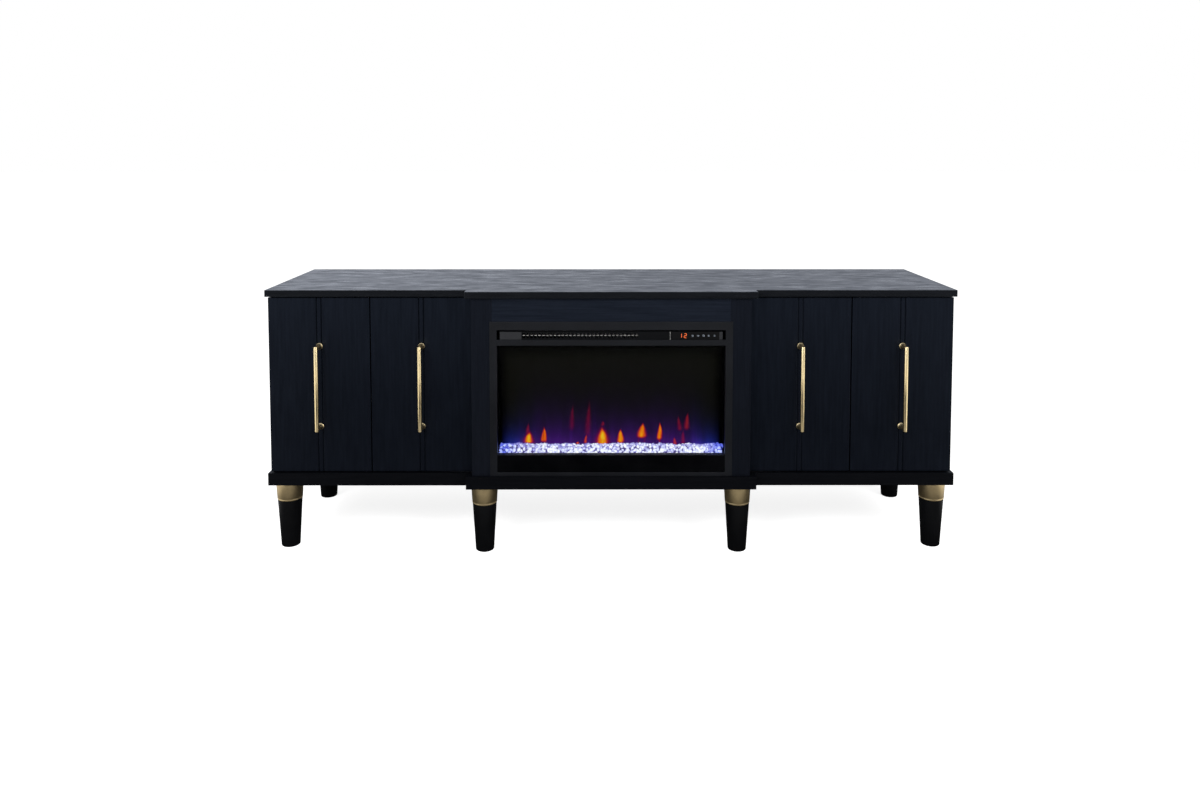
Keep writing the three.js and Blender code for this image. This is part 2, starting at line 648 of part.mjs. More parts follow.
function insertHousing() {
  const inner = housingInnerHalf;
  const overlap = SHEET / 2;
  const shell = cut(
    block(-housingHalf, housingHalf, frameBackY, housingBackY, baseTop, housingTop),
    block(-inner, inner, frameBackY - CUT_OVERRUN, housingBackY - SHEET,
      baseTop + SHEET, housingTop - SHEET),
  );
  const plateBackY = housingBackY - overlap;
  const pieces = [
    block(-inner - overlap, inner + overlap, plateFrontY, plateBackY, dividerBottom, dividerTop),
    block(-inner - overlap, inner + overlap, plateFrontY, screenBackY + SHEET,
      ledgeTop - SHEET, ledgeTop),
  ];
  for (const [x0, x1] of [[bearingLeftX - SHEET, bearingLeftX], [bearingRightX, bearingRightX + SHEET]]) {
    pieces.push(block(
      x0, x1, plateFrontY + SHEET, plateBackY, dividerBottom + overlap, housingTop - overlap));
  }
  for (const [, side] of sides) {
    pieces.push(bearing(side * (inner - BEARING_LENGTH), side * (inner + overlap), spindleY, spindleZ));
  }
  const glandX = housingHalf - GLAND_FROM_END;
  const glandZ = baseTop + GLAND_FROM_BASE;
  const glandEnd = housingBackY + GLAND_LENGTH;
  pieces.push(rodAlongY(GLAND_RADIUS, plateBackY, glandEnd, glandX, glandZ, SMALL_ROUND_SIDES));
  const bore = SHAFT_RADIUS + FIT_GAP;
  const reach = bearingRightX + CUT_OVERRUN;
  const spindleReach = inner - FIT_GAP;
  const holes = [
    rodAlongX(bore, bearingLeftX - CUT_OVERRUN, reach, blowerY, blowerZ, SMALL_ROUND_SIDES),
    rodAlongX(bore, -spindleReach, spindleReach, spindleY, spindleZ, SMALL_ROUND_SIDES),
    rodAlongY(GLAND_BORE_RADIUS, housingBackY - SHEET - CUT_OVERRUN, glandEnd + CUT_OVERRUN,
      glandX, glandZ, SMALL_ROUND_SIDES),
  ];
  const firstSlotX = -((INTAKE_SLOTS - 1) * INTAKE_PITCH) / 2;
  for (let i = 0; i < INTAKE_SLOTS; i += 1) {
    const x = firstSlotX + i * INTAKE_PITCH;
    const slotHalf = INTAKE_SLOT_WIDTH / 2;
    holes.push(block(x - slotHalf, x + slotHalf, housingBackY - SHEET - CUT_OVERRUN,
      housingBackY + CUT_OVERRUN, blowerZ - INTAKE_SLOT_HEIGHT / 2, blowerZ + INTAKE_SLOT_HEIGHT / 2));
  }
  return cut(join(shell, ...pieces), ...holes);
}

// Cross-flow blower wheel on its shaft, lying behind the vent strip.
function blowerWheel() {
  const half = BLOWER_LENGTH / 2;
  const shaftHalf = half + BLOWER_END_GAP + SHEET;
  const pieces = [];
  for (let i = 0; i <= BLOWER_SECTIONS; i += 1) {
    const discX = -half + (BLOWER_LENGTH - BLOWER_DISC) * (i / BLOWER_SECTIONS);
    pieces.push(rodAlongX(BLOWER_RADIUS, discX, discX + BLOWER_DISC, 0, 0, ROUND_SIDES));
  }
  const bladeMiddle = BLOWER_RADIUS - BLOWER_BLADE_DEPTH / 2 - BLOWER_BLADE_THICKNESS;
  for (let i = 0; i < BLOWER_BLADES; i += 1) {
    const blade = new THREE.BoxGeometry(
      BLOWER_LENGTH - BLOWER_DISC, BLOWER_BLADE_THICKNESS, BLOWER_BLADE_DEPTH);
    blade.translate(0, 0, bladeMiddle).rotateX((2 * Math.PI * i) / BLOWER_BLADES);
    pieces.push(blade);
  }
  const shaft = rodAlongX(SHAFT_RADIUS, -shaftHalf, shaftHalf, 0, 0, SMALL_ROUND_SIDES);
  return join(shaft, rodAlongX(BLOWER_HUB_RADIUS, -half, half, 0, 0, SMALL_ROUND_SIDES), ...pieces);
}

// Finned heating bar held between the two blower bearings.
function heaterElement() {
  const left = bearingLeftX;
  const right = bearingRightX;
  const finCount = Math.round((right - left) / HEATER_FIN_PITCH) - 1;
  const finnedLength = (finCount - 1) * HEATER_FIN_PITCH + HEATER_FIN_WIDTH;
  const firstFin = (left + right - finnedLength) / 2;
  const finReach = (HEATER_FIN_DEPTH - HEATER_CORE) / 2;
  const outline = [[left, 0]];
  for (let i = 0; i < finCount; i += 1) {
    const x = firstFin + i * HEATER_FIN_PITCH;
    outline.push([x, 0], [x, -finReach], [x + HEATER_FIN_WIDTH, -finReach], [x + HEATER_FIN_WIDTH, 0]);
  }
  outline.push([right, 0], [right, HEATER_CORE], [left, HEATER_CORE]);
  return prism(outline, -HEATER_HEIGHT / 2, HEATER_HEIGHT / 2);
}

// Crystal bed: two rows of glass pieces on a base that stands on the ledge behind the glass.
function crystalBed() {
  const half = housingInnerHalf - BED_END_GAP;
  const reach = half - CRYSTAL_SIZE;
  const columns = Math.round((reach * 2) / CRYSTAL_PITCH) + 1;
  const spacing = (reach * 2) / (columns - 1);
  const sizeShares = [1, 0.86, 0.94, 0.8];
  const pieces = [];
  for (const y of [(BED_DEPTH - CRYSTAL_PITCH) / 2, (BED_DEPTH + CRYSTAL_PITCH) / 2]) {
    for (let i = 0; i < columns; i += 1) {
      const stone = new THREE.OctahedronGeometry(CRYSTAL_SIZE * sizeShares[i % sizeShares.length]);
      stone.rotateX(i + y / CRYSTAL_SIZE).rotateZ(i * 2);
      pieces.push(stone.translate(i * spacing - reach, y, BED_BASE_HEIGHT));
    }
  }
  return join(block(-half, half, 0, BED_DEPTH, 0, BED_BASE_HEIGHT), ...pieces);
}

function flameScreen() {
  const half = housingInnerHalf - SCREEN_SIDE_GAP;
  return block(-half, half, screenFrontY, screenBackY, ledgeTop, dividerBottom - SCREEN_TOP_GAP);
}

// Spindle that turns behind the screen, with bright blades set round it in a spiral.
function flameSpindle() {
  const half = housingInnerHalf - BEARING_LENGTH - FIT_GAP;
  const shaftHalf = housingInnerHalf - FIT_GAP * 2;
  const pieces = [];
  const pitch = (half * 2 - SPINDLE_BLADE_LENGTH * 2) / (SPINDLE_BLADES - 1);
  for (let i = 0; i < SPINDLE_BLADES; i += 1) {
    const blade = new THREE.BoxGeometry(
      SPINDLE_BLADE_LENGTH, SPINDLE_BLADE_THICKNESS, SPINDLE_BLADE_REACH * 2);
    blade.rotateX((2 * Math.PI * i) / SPINDLE_BLADES_PER_TURN);
    blade.translate(-half + SPINDLE_BLADE_LENGTH + i * pitch, 0, 0);
    pieces.push(blade);
  }
  const rod = rodAlongX(SPINDLE_RADIUS, -half, half, 0, 0, SMALL_ROUND_SIDES);
  return join(rodAlongX(SHAFT_RADIUS, -shaftHalf, shaftHalf, 0, 0, SMALL_ROUND_SIDES), rod, ...pieces);
}

place(cabinet, 'insert_front_frame', insertFrontFrame(), frameBlack);
place(cabinet, 'insert_housing', insertHousing(), blackSheet);
place(cabinet, 'outlet_grille', outletGrille(), frameBlack);
place(cabinet, 'control_panel', controlPanel(), panelGloss);
place(cabinet, 'viewing_glass', viewingGlass(), blackGlass);
place(cabinet, 'heater_element', heaterElement(), darkSteel, 0, glassBackY + HEATER_BEHIND_GLASS, blowerZ);
place(cabinet, 'blower_wheel', blowerWheel(), darkSteel,
  (blowerLeftX + blowerRightX) / 2, blowerY, blowerZ);
place(cabinet, 'crystal_bed', crystalBed(), crystalBlue, 0, bedFrontY, ledgeTop);
place(cabinet, 'flame_screen', flameScreen(), screenFilm);
place(cabinet, 'flame_spindle', flameSpindle(), darkSteel, 0, spindleY, spindleZ);

export default cabinet;
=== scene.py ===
# %% [markdown]
# # A fireplace media console
# A long low cabinet of black stained oak stands on six tapered legs. Its middle steps forward and holds
# an electric heater with a vent strip, a lit control window and a bed of glass crystals with flames
# behind glass. Two doors hang on each side of it, each with a long round pull.
#
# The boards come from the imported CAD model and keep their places. This lesson gives them their finishes
# and soft edges, and builds in mesh code what the CAD model only has in a plain form.

# %% Load the model
import math

import bpy
from mathutils import Matrix, Vector


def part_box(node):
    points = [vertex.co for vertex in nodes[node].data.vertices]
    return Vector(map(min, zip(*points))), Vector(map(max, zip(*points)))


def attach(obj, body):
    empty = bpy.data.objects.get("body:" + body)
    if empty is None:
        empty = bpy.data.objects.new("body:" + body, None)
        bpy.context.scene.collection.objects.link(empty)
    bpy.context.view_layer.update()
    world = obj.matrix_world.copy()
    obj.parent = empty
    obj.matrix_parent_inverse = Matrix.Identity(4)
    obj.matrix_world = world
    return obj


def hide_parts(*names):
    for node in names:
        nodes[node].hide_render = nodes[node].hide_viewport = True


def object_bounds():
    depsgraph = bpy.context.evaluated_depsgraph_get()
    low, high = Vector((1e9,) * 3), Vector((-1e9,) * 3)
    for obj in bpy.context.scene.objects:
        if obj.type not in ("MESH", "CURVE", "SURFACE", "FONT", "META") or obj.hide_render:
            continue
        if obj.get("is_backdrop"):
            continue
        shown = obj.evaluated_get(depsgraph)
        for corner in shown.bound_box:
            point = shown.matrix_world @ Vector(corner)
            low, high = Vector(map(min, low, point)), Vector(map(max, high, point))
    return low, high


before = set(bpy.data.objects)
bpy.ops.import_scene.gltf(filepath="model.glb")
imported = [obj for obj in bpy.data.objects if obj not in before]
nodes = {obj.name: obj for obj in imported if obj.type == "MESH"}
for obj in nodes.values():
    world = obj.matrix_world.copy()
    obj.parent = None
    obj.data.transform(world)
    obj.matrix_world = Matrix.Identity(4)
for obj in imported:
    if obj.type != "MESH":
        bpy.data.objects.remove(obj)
model_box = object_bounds()
print("console in metres:", [round(side, 3) for side in model_box[1] - model_box[0]])
print("parts in the model:", len(nodes))

# %% [markdown]
# ## Building shader trees
# Every finish below is a small tree of shader nodes. Adding a node takes three steps: make it, set its
# options, and join or set its inputs. One helper does all three, so each line of a finish reads as one
# thought. It could be done by hand in the shader editor, but then the finish couldn't be rebuilt.

# %% One node in one line
def fill(node, inputs):
    """Fills inputs of a node with numbers, colours or other nodes' outputs."""
    for name, value in inputs.items():
        socket = node.inputs[name]
        if isinstance(value, bpy.types.NodeSocket):
            node.id_data.links.new(value, socket)
        elif socket.type == "RGBA":
            socket.default_value = (*value, 1.0)
        else:
            socket.default_value = value


def put(tree, kind, inputs=None, out=0, **settings):
    """Adds a node, sets its options, fills its inputs and returns one of its outputs."""
    family = "" if kind.startswith(("Geometry", "Function")) else "ShaderNode"
    node = tree.nodes.new(family + kind)
    for option, value in settings.items():
        setattr(node, option, value)
    fill(node, inputs or {})
    return node.outputs[out] if node.outputs else None


def empty_tree(owner):
    """The node tree of a material or a world, cleared."""
    owner.use_nodes = True
    owner.node_tree.nodes.clear()
    return owner.node_tree


def new_finish(name):
    """A material with one Principled shader, returned with its tree and its shader."""
    finish = bpy.data.materials.new(name)
    tree = empty_tree(finish)
    shader = tree.nodes.new("ShaderNodeBsdfPrincipled")
    put(tree, "OutputMaterial", {"Surface": shader.outputs["BSDF"]})
    return finish, tree, shader


print("helpers ready: fill, put, empty_tree, new_finish")

# %% [markdown]
# ## The words of a finish
# Wood, paint and metal all need the same few things: a pattern of a given size in metres, a colour that
# follows it, a shallow relief, and paler edges where hands and cloths have rubbed. The patterns read
# Object coordinates, which are metres on this model, so a pattern keeps its real size on every piece.

# %% Arithmetic with the outputs of nodes
def maths(operation, first, second=0.0):
    """Two values joined by one step of arithmetic."""
    return put(first.id_data, "Math", {0: first, 1: second}, operation=operation)


def plus(first, second):
    """Two values added."""
    return maths("ADD", first, second)


def times(first, second):
    """Two values multiplied."""
    return maths("MULTIPLY", first, second)


def larger(first, second):
    """The larger of two values."""
    return maths("MAXIMUM", first, second)


def without_sign(value):
    """A value made positive."""
    return maths("ABSOLUTE", value)


def remap(value, low, high, to_low=0.0, to_high=1.0):
    """Stretches a value from one range to another, and stops at its ends."""
    inputs = {0: value, 1: low, 2: high, 3: to_low, 4: to_high}
    return put(value.id_data, "MapRange", inputs, clamp=True)


def between(factor, first, second):
    """A number between two numbers."""
    return put(factor.id_data, "Mix", {0: factor, 2: first, 3: second}, data_type="FLOAT")


print("arithmetic: maths, plus, times, larger, without_sign, remap, between")

# %% Patterns, colours, relief and worn edges
def axes(tree, source="Object"):
    """X, Y and Z of the place or the direction that coordinates give."""
    place = put(tree, "TexCoord", out=source)
    return put(tree, "SeparateXYZ", {0: place}).node.outputs


def stretched(tree, *scale):
    """Object coordinates, multiplied by one number for all axes or by one for each."""
    place = put(tree, "TexCoord", out="Object")
    return put(tree, "Mapping", {"Vector": place, "Scale": scale * (3 // len(scale))})


def speckle(place, detail=3.0, rough=0.5, bend=0.0):
    """Noise from 0 to 1 at a place."""
    inputs = {"Vector": place, "Scale": 1.0, "Detail": detail, "Roughness": rough, "Distortion": bend}
    return put(place.id_data, "TexNoise", inputs, "Fac")


def mixed(factor, first, second):
    """A colour between two colours."""
    return put(factor.id_data, "Mix", {0: factor, 6: first, 7: second}, 2, data_type="RGBA")


def shades(factor, *stops):
    """A colour ramp through pairs of a place and a colour."""
    shade = put(factor.id_data, "ValToRGB", {"Fac": factor}, "Color")
    bar = shade.node.color_ramp.elements
    bar.remove(bar[0])
    bar[0].position = stops[-1][0]
    bar[0].color = (*stops[-1][1], 1.0)
    for position, colour in stops[:-1]:
        bar.new(position).color = (*colour, 1.0)
    return shade


def relief(height, depth, strength=1.0, under=None):
    """A bump whose full height is a depth in metres, laid over another bump if there is one."""
    inputs = {"Height": height, "Distance": depth, "Strength": strength}
    if under:
        inputs["Normal"] = under
    return put(height.id_data, "Bump", inputs)


def worn(tree, radius):
    """1 along sharp edges and 0 on flat places."""
    soft = put(tree, "Bevel", {"Radius": radius}, samples=4)
    true = put(tree, "NewGeometry", out="Normal")
    same = put(tree, "VectorMath", {0: soft, 1: true}, "Value", operation="DOT_PRODUCT")
    return remap(same, 1.0, 0.65)


def tinted(colour, gain, lift=0.0):
    """A colour made brighter or darker, and then lifted a little."""
    return tuple(gain * value + lift for value in colour)


print("words of a finish: axes, stretched, speckle, mixed, shades, relief, worn, tinted")

# %% [markdown]
# ## Black stained oak
# The console is covered in oak veneer with a black stain that leaves a breath of blue. The stain sits
# deep in the pores and thin on the hard fibres, so the grain shows as fine streaks along each board.
# A photograph of wood would do, but a picture repeats and has no end grain. Here three layers of noise
# are stretched along the board: broad figure, fibres about 3 mm apart, and short fine pores. Three
# softer layers change the gloss, the tint of the shine and how flat the board lies. The grain turns
# where a strip of edging covers the end of a board, as the veneer does.

# %% Coordinates that follow the grain
def along_grain(tree, grain, length, width):
    """Coordinates measured along and across the grain, each divided by the size of one streak."""
    where = axes(tree)
    side = axes(tree, "Normal")
    first, other = (0, 1) if grain == "X" else (2, 0)
    rest = ({0, 1, 2} - {first, other}).pop()
    faces = put(tree, "CombineXYZ", {0: where[first], 1: where[other], 2: where[rest]})
    ends = put(tree, "CombineXYZ", {0: where[other], 1: where[first], 2: where[rest]})
    on_end = maths("GREATER_THAN", without_sign(side[first]), 0.7)
    place = put(tree, "Mix", {0: on_end, 4: faces, 5: ends}, 1, data_type="VECTOR")
    scale = (1.0 / length, 1.0 / width, 1.0 / width)
    return put(tree, "Mapping", {"Vector": place, "Scale": scale})


PORE_BLACK = (0.002, 0.0024, 0.003)
# the near black of the painted shade on faces that look to the front
FRONT_SHADE_BLACK = (0.001, 0.0011, 0.0014)
PORE_DEPTH = 0.00012


def stained_oak(name, grain, deep, pale, rough, shine, sheen, wave=0.0001, front_brightness=1.0, uneven=0.05):
    """Black stained oak with its grain along an axis, between a deep and a pale colour."""
    finish, tree, shader = new_finish(name)

    def streaks(length, width, *noise):
        """Noise in streaks of a length and a width in metres."""
        return speckle(along_grain(tree, grain, length, width), *noise)

    figure = streaks(0.8, 0.07, 2.0, 0.5, 0.9)
    fibres = streaks(0.16, 0.0032, 4.0, 0.62)
    pores = streaks(0.022, 0.0009, 2.0, 0.5)
    grey = plus(times(fibres, 0.68), times(figure, 0.32))
    middle = tuple((dark + light) / 2 for dark, light in zip(deep, pale))
    stain = shades(grey, (0.34, deep), (0.5, middle), (0.66, pale))
    pits = remap(pores, 0.56, 0.72)
    filled = mixed(times(pits, 0.55), stain, PORE_BLACK)
    rubbed = times(worn(tree, 0.0012), remap(fibres, 0.35, 0.7, 0.1, 0.5))
    colour = mixed(rubbed, filled, tinted(pale, 1.8, 0.002))
    # faces that look to the front can be given painted shade: their colour darkens towards near black and
    # their shine drops
    on_front = remap(axes(tree, "Normal")[1], -0.5, -0.9)
    matt = streaks(0.075, 0.024, 4.0, 0.65, 0.3)
    swell = relief(streaks(0.12, 0.045, 3.0, 0.6, 0.4), wave)
    bands = streaks(0.12, 0.0075, 3.0, 0.6)
    fill(shader, {
        "Base Color": mixed(times(on_front, 1.0 - front_brightness), colour, FRONT_SHADE_BLACK),
        "Roughness": remap(matt, 0.32, 0.68, rough - uneven, rough + uneven),
        "Normal": relief(maths("SUBTRACT", fibres, pits), PORE_DEPTH, 0.5, swell),
        "Specular Tint": shades(bands, (0.3, tinted(sheen, 0.62)), (0.68, sheen)),
        "Specular IOR Level": remap(on_front, 0.0, 1.0, shine, shine * front_brightness),
    })
    return finish


# The five oaks below are one stain, and their colours differ only as painted light and shade: the top is
# painted lightest, then the header, the uprights and the doors, and the apron darkest.
blue_sheen = (0.86, 0.91, 1.0)
deep_sheen = (0.52, 0.67, 1.0)
# the top's faces that look to the front carry painted shade
oak_top = stained_oak(
    "oak_top", "X", (0.006, 0.0075, 0.011), (0.012, 0.015, 0.022),
    rough=0.36, shine=0.55, sheen=blue_sheen, wave=0.0016, front_brightness=0.25, uneven=0.13)
oak_level = stained_oak(
    "oak_level", "X", (0.0026, 0.0036, 0.0064), (0.0088, 0.011, 0.0172),
    rough=0.44, shine=0.2, sheen=deep_sheen, wave=0.0004)
oak_apron = stained_oak(
    "oak_apron", "X", (0.0012, 0.0013, 0.0019), (0.0024, 0.0026, 0.0038),
    rough=0.48, shine=0.08, sheen=blue_sheen)
oak_upright = stained_oak(
    "oak_upright", "Z", (0.0026, 0.003, 0.0046), (0.005, 0.0056, 0.0084),
    rough=0.46, shine=0.16, sheen=deep_sheen)
oak_door = stained_oak(
    "oak_door", "Z", (0.0017, 0.0022, 0.0037), (0.0027, 0.0033, 0.0055),
    rough=0.39, shine=0.22, sheen=deep_sheen)
print("oak finishes:", [finish.name for finish in (oak_top, oak_level, oak_apron, oak_upright, oak_door)])

# %% [markdown]
# ## Boards of the inside and the back
# Inside, the boards are black melamine: a printed paper under resin, with a faint pressed texture. The
# backs are thin hardboard, painted black, with small flecks of the fibres that it is pressed from. Both
# are plainer than the oak, so small flecks, denser in some places than in others, are enough for them.

# %% Melamine and hardboard
def pressed_board(name, colour, fleck, fleck_size, rough, depth):
    """A pressed board with small flecks of another colour and a shallow grain all over."""
    finish, tree, shader = new_finish(name)
    flecks = speckle(stretched(tree, 1.0 / fleck_size), 3.0, 0.6)
    cloud = speckle(stretched(tree, 7.0), 2.0)
    amount = times(remap(flecks, 0.5, 0.72), remap(cloud, 0.3, 0.7, 0.35, 1.0))
    fill(shader, {
        "Base Color": mixed(amount, colour, fleck),
        "Roughness": remap(flecks, 0.3, 0.7, rough - 0.06, rough + 0.08),
        "Normal": relief(flecks, depth, 0.6),
        "Specular IOR Level": 0.3,
    })
    return finish


melamine = pressed_board(
    "black_melamine", (0.012, 0.0125, 0.014), (0.024, 0.025, 0.028),
    fleck_size=0.0016, rough=0.5, depth=0.00008)
hardboard = pressed_board(
    "hardboard", (0.017, 0.016, 0.0155), (0.042, 0.036, 0.03),
    fleck_size=0.003, rough=0.62, depth=0.0002)
print("board finishes:", melamine.name, hardboard.name)

# %% [markdown]
# ## Metals
# The pulls are plated a pale satin gold and the collars of the legs a darker antique gold. Plating is
# brushed before it is lacquered, so it shows very fine lines and slightly cloudy patches, and it is
# brighter where the lacquer wears off the edges. Hinges are nickel plated steel, and the blower, the
# rotor and the heating bar are bare dark steel. One recipe serves them all: its lines have a scale for
# each axis, and they run along the axes where that scale is small.

# %% Brushed and plated metal
def plated(name, bright, dull, rough, line_scale, line_depth=0.00003):
    """A plated metal between a bright and a dull colour, with brushed lines at a scale for each axis."""
    finish, tree, shader = new_finish(name)
    lines = speckle(stretched(tree, *line_scale), 3.0, 0.65)
    patches = speckle(stretched(tree, 38.0), 3.0, 0.55)
    dulled = times(remap(patches, 0.38, 0.7), remap(lines, 0.3, 0.7, 0.55, 1.0))
    base = mixed(dulled, bright, dull)
    shiny = tuple(min(1.0, value) for value in tinted(bright, 1.12, 0.03))
    line_gloss = remap(lines, 0.3, 0.7, rough - 0.05, rough + 0.07)
    fill(shader, {
        "Base Color": mixed(times(worn(tree, 0.0008), 0.7), base, shiny),
        "Roughness": plus(line_gloss, remap(patches, 0.3, 0.7, 0.0, 0.06)),
        "Normal": relief(lines, line_depth, 0.35),
        "Metallic": 1.0,
    })
    return finish


UPRIGHT_LINES = (2600.0, 2600.0, 60.0)
RING_LINES = (90.0, 90.0, 2600.0)
ROLLED_LINES = (60.0, 1800.0, 1800.0)
# each finish: name, bright and dull colour, roughness, scale of its lines, and their depth
gold_pull = plated("pale_gold", (1.0, 0.8, 0.44), (0.94, 0.73, 0.39), 0.27, UPRIGHT_LINES, 0.000006)
gold_collar = plated("antique_gold", (0.6, 0.465, 0.25), (0.44, 0.335, 0.18), 0.36, RING_LINES)
nickel = plated("nickel_steel", (0.62, 0.61, 0.59), (0.47, 0.46, 0.45), 0.3, (1400.0, 120.0, 1400.0))
dark_steel = plated("dark_steel", (0.2, 0.2, 0.205), (0.11, 0.11, 0.115), 0.42, ROLLED_LINES)
blade_steel = plated("blade_steel", (0.62, 0.6, 0.56), (0.42, 0.4, 0.38), 0.45, ROLLED_LINES)
metals = (gold_pull, gold_collar, nickel, dark_steel, blade_steel)
print("metal finishes:", [finish.name for finish in metals])

# %% [markdown]
# ## Paint and powder coat
# The legs are lacquered black, smooth with a slight orange peel. The heater's frame is powder coated
# steel, which has a finer and rougher skin. Its vent strip has the same coat in a deeper black, and its
# housing a flatter one. The peel is a low noise in the relief; the flow of the coat also changes the
# gloss a little from place to place.

# %% Coated surfaces
def coated(name, colour, rough, peel_size, peel_depth, shine, edge=1.0):
    """A paint or powder coat with orange peel of a size in metres, and edges worn a little paler."""
    finish, tree, shader = new_finish(name)
    peel = speckle(stretched(tree, 1.0 / peel_size), 2.0, 0.5)
    flow = speckle(stretched(tree, 11.0), 3.0, 0.6)
    base = mixed(remap(flow, 0.35, 0.68), colour, tinted(colour, 1.35, 0.0008))
    rubbed = times(worn(tree, 0.001), times(remap(peel, 0.35, 0.65, 0.2, 0.7), edge))
    fill(shader, {
        "Base Color": mixed(rubbed, base, tinted(colour, 2.6, 0.006)),
        "Roughness": remap(flow, 0.3, 0.7, rough - 0.04, rough + 0.05),
        "Normal": relief(peel, peel_depth, 0.5),
        "Specular IOR Level": shine,
    })
    return finish


# each finish: name, colour, roughness, size and depth of the peel, shine, and wear of the edges
leg_lacquer = coated("leg_lacquer", (0.0022, 0.0023, 0.0028), 0.36, 0.0022, 0.00004, 0.1)
frame_coat = coated("frame_coat", (0.0036, 0.0042, 0.006), 0.42, 0.0009, 0.00004, 0.2)
vent_coat = coated("vent_coat", (0.0012, 0.0014, 0.002), 0.44, 0.0009, 0.00004, 0.1)
sheet_coat = coated("sheet_coat", (0.011, 0.0112, 0.012), 0.52, 0.0012, 0.00006, 0.35)
panel_gloss = coated("panel_gloss", (0.0012, 0.0013, 0.0016), 0.16, 0.004, 0.00001, 0.1, 0.3)
cap_coat = coated("cap_coat", (0.013, 0.0135, 0.0155), 0.5, 0.0009, 0.00004, 0.3)
back_painted = coated("back_painted_glass", (0.0008, 0.0009, 0.0013), 0.12, 0.006, 0.000004, 0.14, 0.3)
coats = (leg_lacquer, frame_coat, vent_coat, sheet_coat, panel_gloss, cap_coat, back_painted)
print("coated finishes:", [finish.name for finish in coats])

# %% [markdown]
# ## Dressing the boards
# A sawn board never has a knife edge: the edging is trimmed with a small round. The CAD boards have
# sharp corners and stay as they are in place and size, so the round comes from modifiers. Weld joins
# their loose triangles, Decimate clears the lines across flat faces, and Bevel rounds what is left.

# %% Finish and round the model's own boards
def dress(names, finish, edge, steps=2):
    """Gives model parts a finish and a round of a width in metres on every sharp edge."""
    for name in names:
        part = nodes[name]
        part.data.materials.clear()
        part.data.materials.append(finish)
        part.modifiers.new("join", "WELD").merge_threshold = 0.00002
        clear = part.modifiers.new("clear flats", "DECIMATE")
        clear.decimate_type = "DISSOLVE"
        clear.angle_limit = math.radians(0.6)
        soft = part.modifiers.new("round edges", "BEVEL")
        soft.width = edge
        soft.segments = steps
        soft.limit_method = "ANGLE"
        soft.angle_limit = math.radians(40)
        soft.harden_normals = True


def each(kind, places):
    """The names of one kind of part at several places."""
    return [f"{kind}_{place}" for place in places]


SIDES = ("left", "right")
DOORS = [f"{side}_{place}" for side in SIDES for place in ("outer", "inner")]
HINGE_PLACES = [f"{door}_{level}" for door in DOORS for level in ("lower", "upper")]
dress(["top_panel"], oak_top, 0.0012, 3)
dress(["base_frame"], oak_apron, 0.001)
dress(["header_rail"], oak_level, 0.0007)
dress(each("stile", SIDES), oak_upright, 0.0007)
dress(each("side_panel", SIDES), oak_upright, 0.0008)
dress(each("door", DOORS), oak_door, 0.0007)
dress(["bottom_panel"], melamine, 0.0005)
dress(each("partition", SIDES), melamine, 0.0005)
dress(each("shelf", SIDES), melamine, 0.0006)
dress(each("back_panel", SIDES), hardboard, 0.0004)
print("boards dressed:", sum(1 for part in nodes.values() if part.modifiers))

# %% Finish the heater's sheet metal and the hinges
dress(["insert_front_frame"], frame_coat, 0.0008)
dress(["insert_housing"], sheet_coat, 0.0004, 1)
dress(["outlet_grille"], vent_coat, 0.0004)
dress(["control_panel"], panel_gloss, 0.0004)
dress(["heater_element", "blower_wheel", "flame_spindle"], dark_steel, 0.0002, 1)
dress(each("hinge_arm", HINGE_PLACES), nickel, 0.0006)
dress(each("hinge_cup", HINGE_PLACES), nickel, 0.0004)
print("metal parts dressed, hinges:", len(HINGE_PLACES))

# %% [markdown]
# ## Turned pieces
# Legs and collars come off a lathe, so both are one profile turned round a line. The Screw modifier or
# Spin would do it, but both need care about which way the faces point. Writing the rings directly
# keeps every face outwards and puts the poles at a single point.

# %% A profile turned round an upright line
def mesh_of(name, corners, faces):
    """A mesh from corners and faces."""
    mesh = bpy.data.meshes.new(name)
    mesh.from_pydata([tuple(corner) for corner in corners], [], faces)
    return mesh


def stand(name, data):
    """A new object in the scene that shows a mesh, a lamp or a camera."""
    thing = bpy.data.objects.new(name, data)
    bpy.context.scene.collection.objects.link(thing)
    return thing


def hang(piece, body, sharp):
    """Shades a piece smooth up to an angle and hangs it on a body."""
    piece.data.shade_smooth()
    piece.data.set_sharp_from_angle(angle=math.radians(sharp))
    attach(piece, body)
    return piece


def keep(name, shape, finish, sharp=30.0, body="cabinet"):
    """Makes a piece from a shape, which is its corners and faces, and hangs it on a body."""
    mesh = mesh_of(name, *shape)
    mesh.materials.append(finish)
    return hang(stand(name, mesh), body, sharp)


def turned(profile, steps=64, closed=False):
    """Corners and faces of a profile of (radius, height) pairs, turned round the Z axis."""
    corners = []
    rings = []
    for radius, height in profile:
        if radius == 0:
            rings.append([len(corners)] * steps)
            corners.append(Vector((0, 0, height)))
            continue
        rings.append(list(range(len(corners), len(corners) + steps)))
        for step in range(steps):
            turn = 2 * math.pi * step / steps
            corners.append(Vector((radius * math.cos(turn), radius * math.sin(turn), height)))
    if closed:
        rings.append(rings[0])
    faces = []
    for low, high in zip(rings, rings[1:]):
        for step in range(steps):
            after = (step + 1) % steps
            face = [low[step], low[after], high[after], high[step]]
            faces.append(tuple(dict.fromkeys(face)))
    return corners, faces


def moved(shape, place, tilt=0.0):
    """A shape turned about X by an angle in degrees and carried to a place."""
    matrix = Matrix.Translation(place) @ Matrix.Rotation(math.radians(tilt), 4, "X")
    return [matrix @ corner for corner in shape[0]], shape[1]


def middle_of(name):
    """The middle of a model part's box."""
    low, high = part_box(name)
    return (low + high) / 2


print("turning ready; a test ring has", len(turned([(0.01, 0.0), (0.01, 0.02)], 12)[1]), "faces")

# %% [markdown]
# ## Legs
# Each leg is a turned taper with a small round at the foot. Its top is turned down to a neck that the
# collar slides over, and ends in a stud that goes up into the apron.

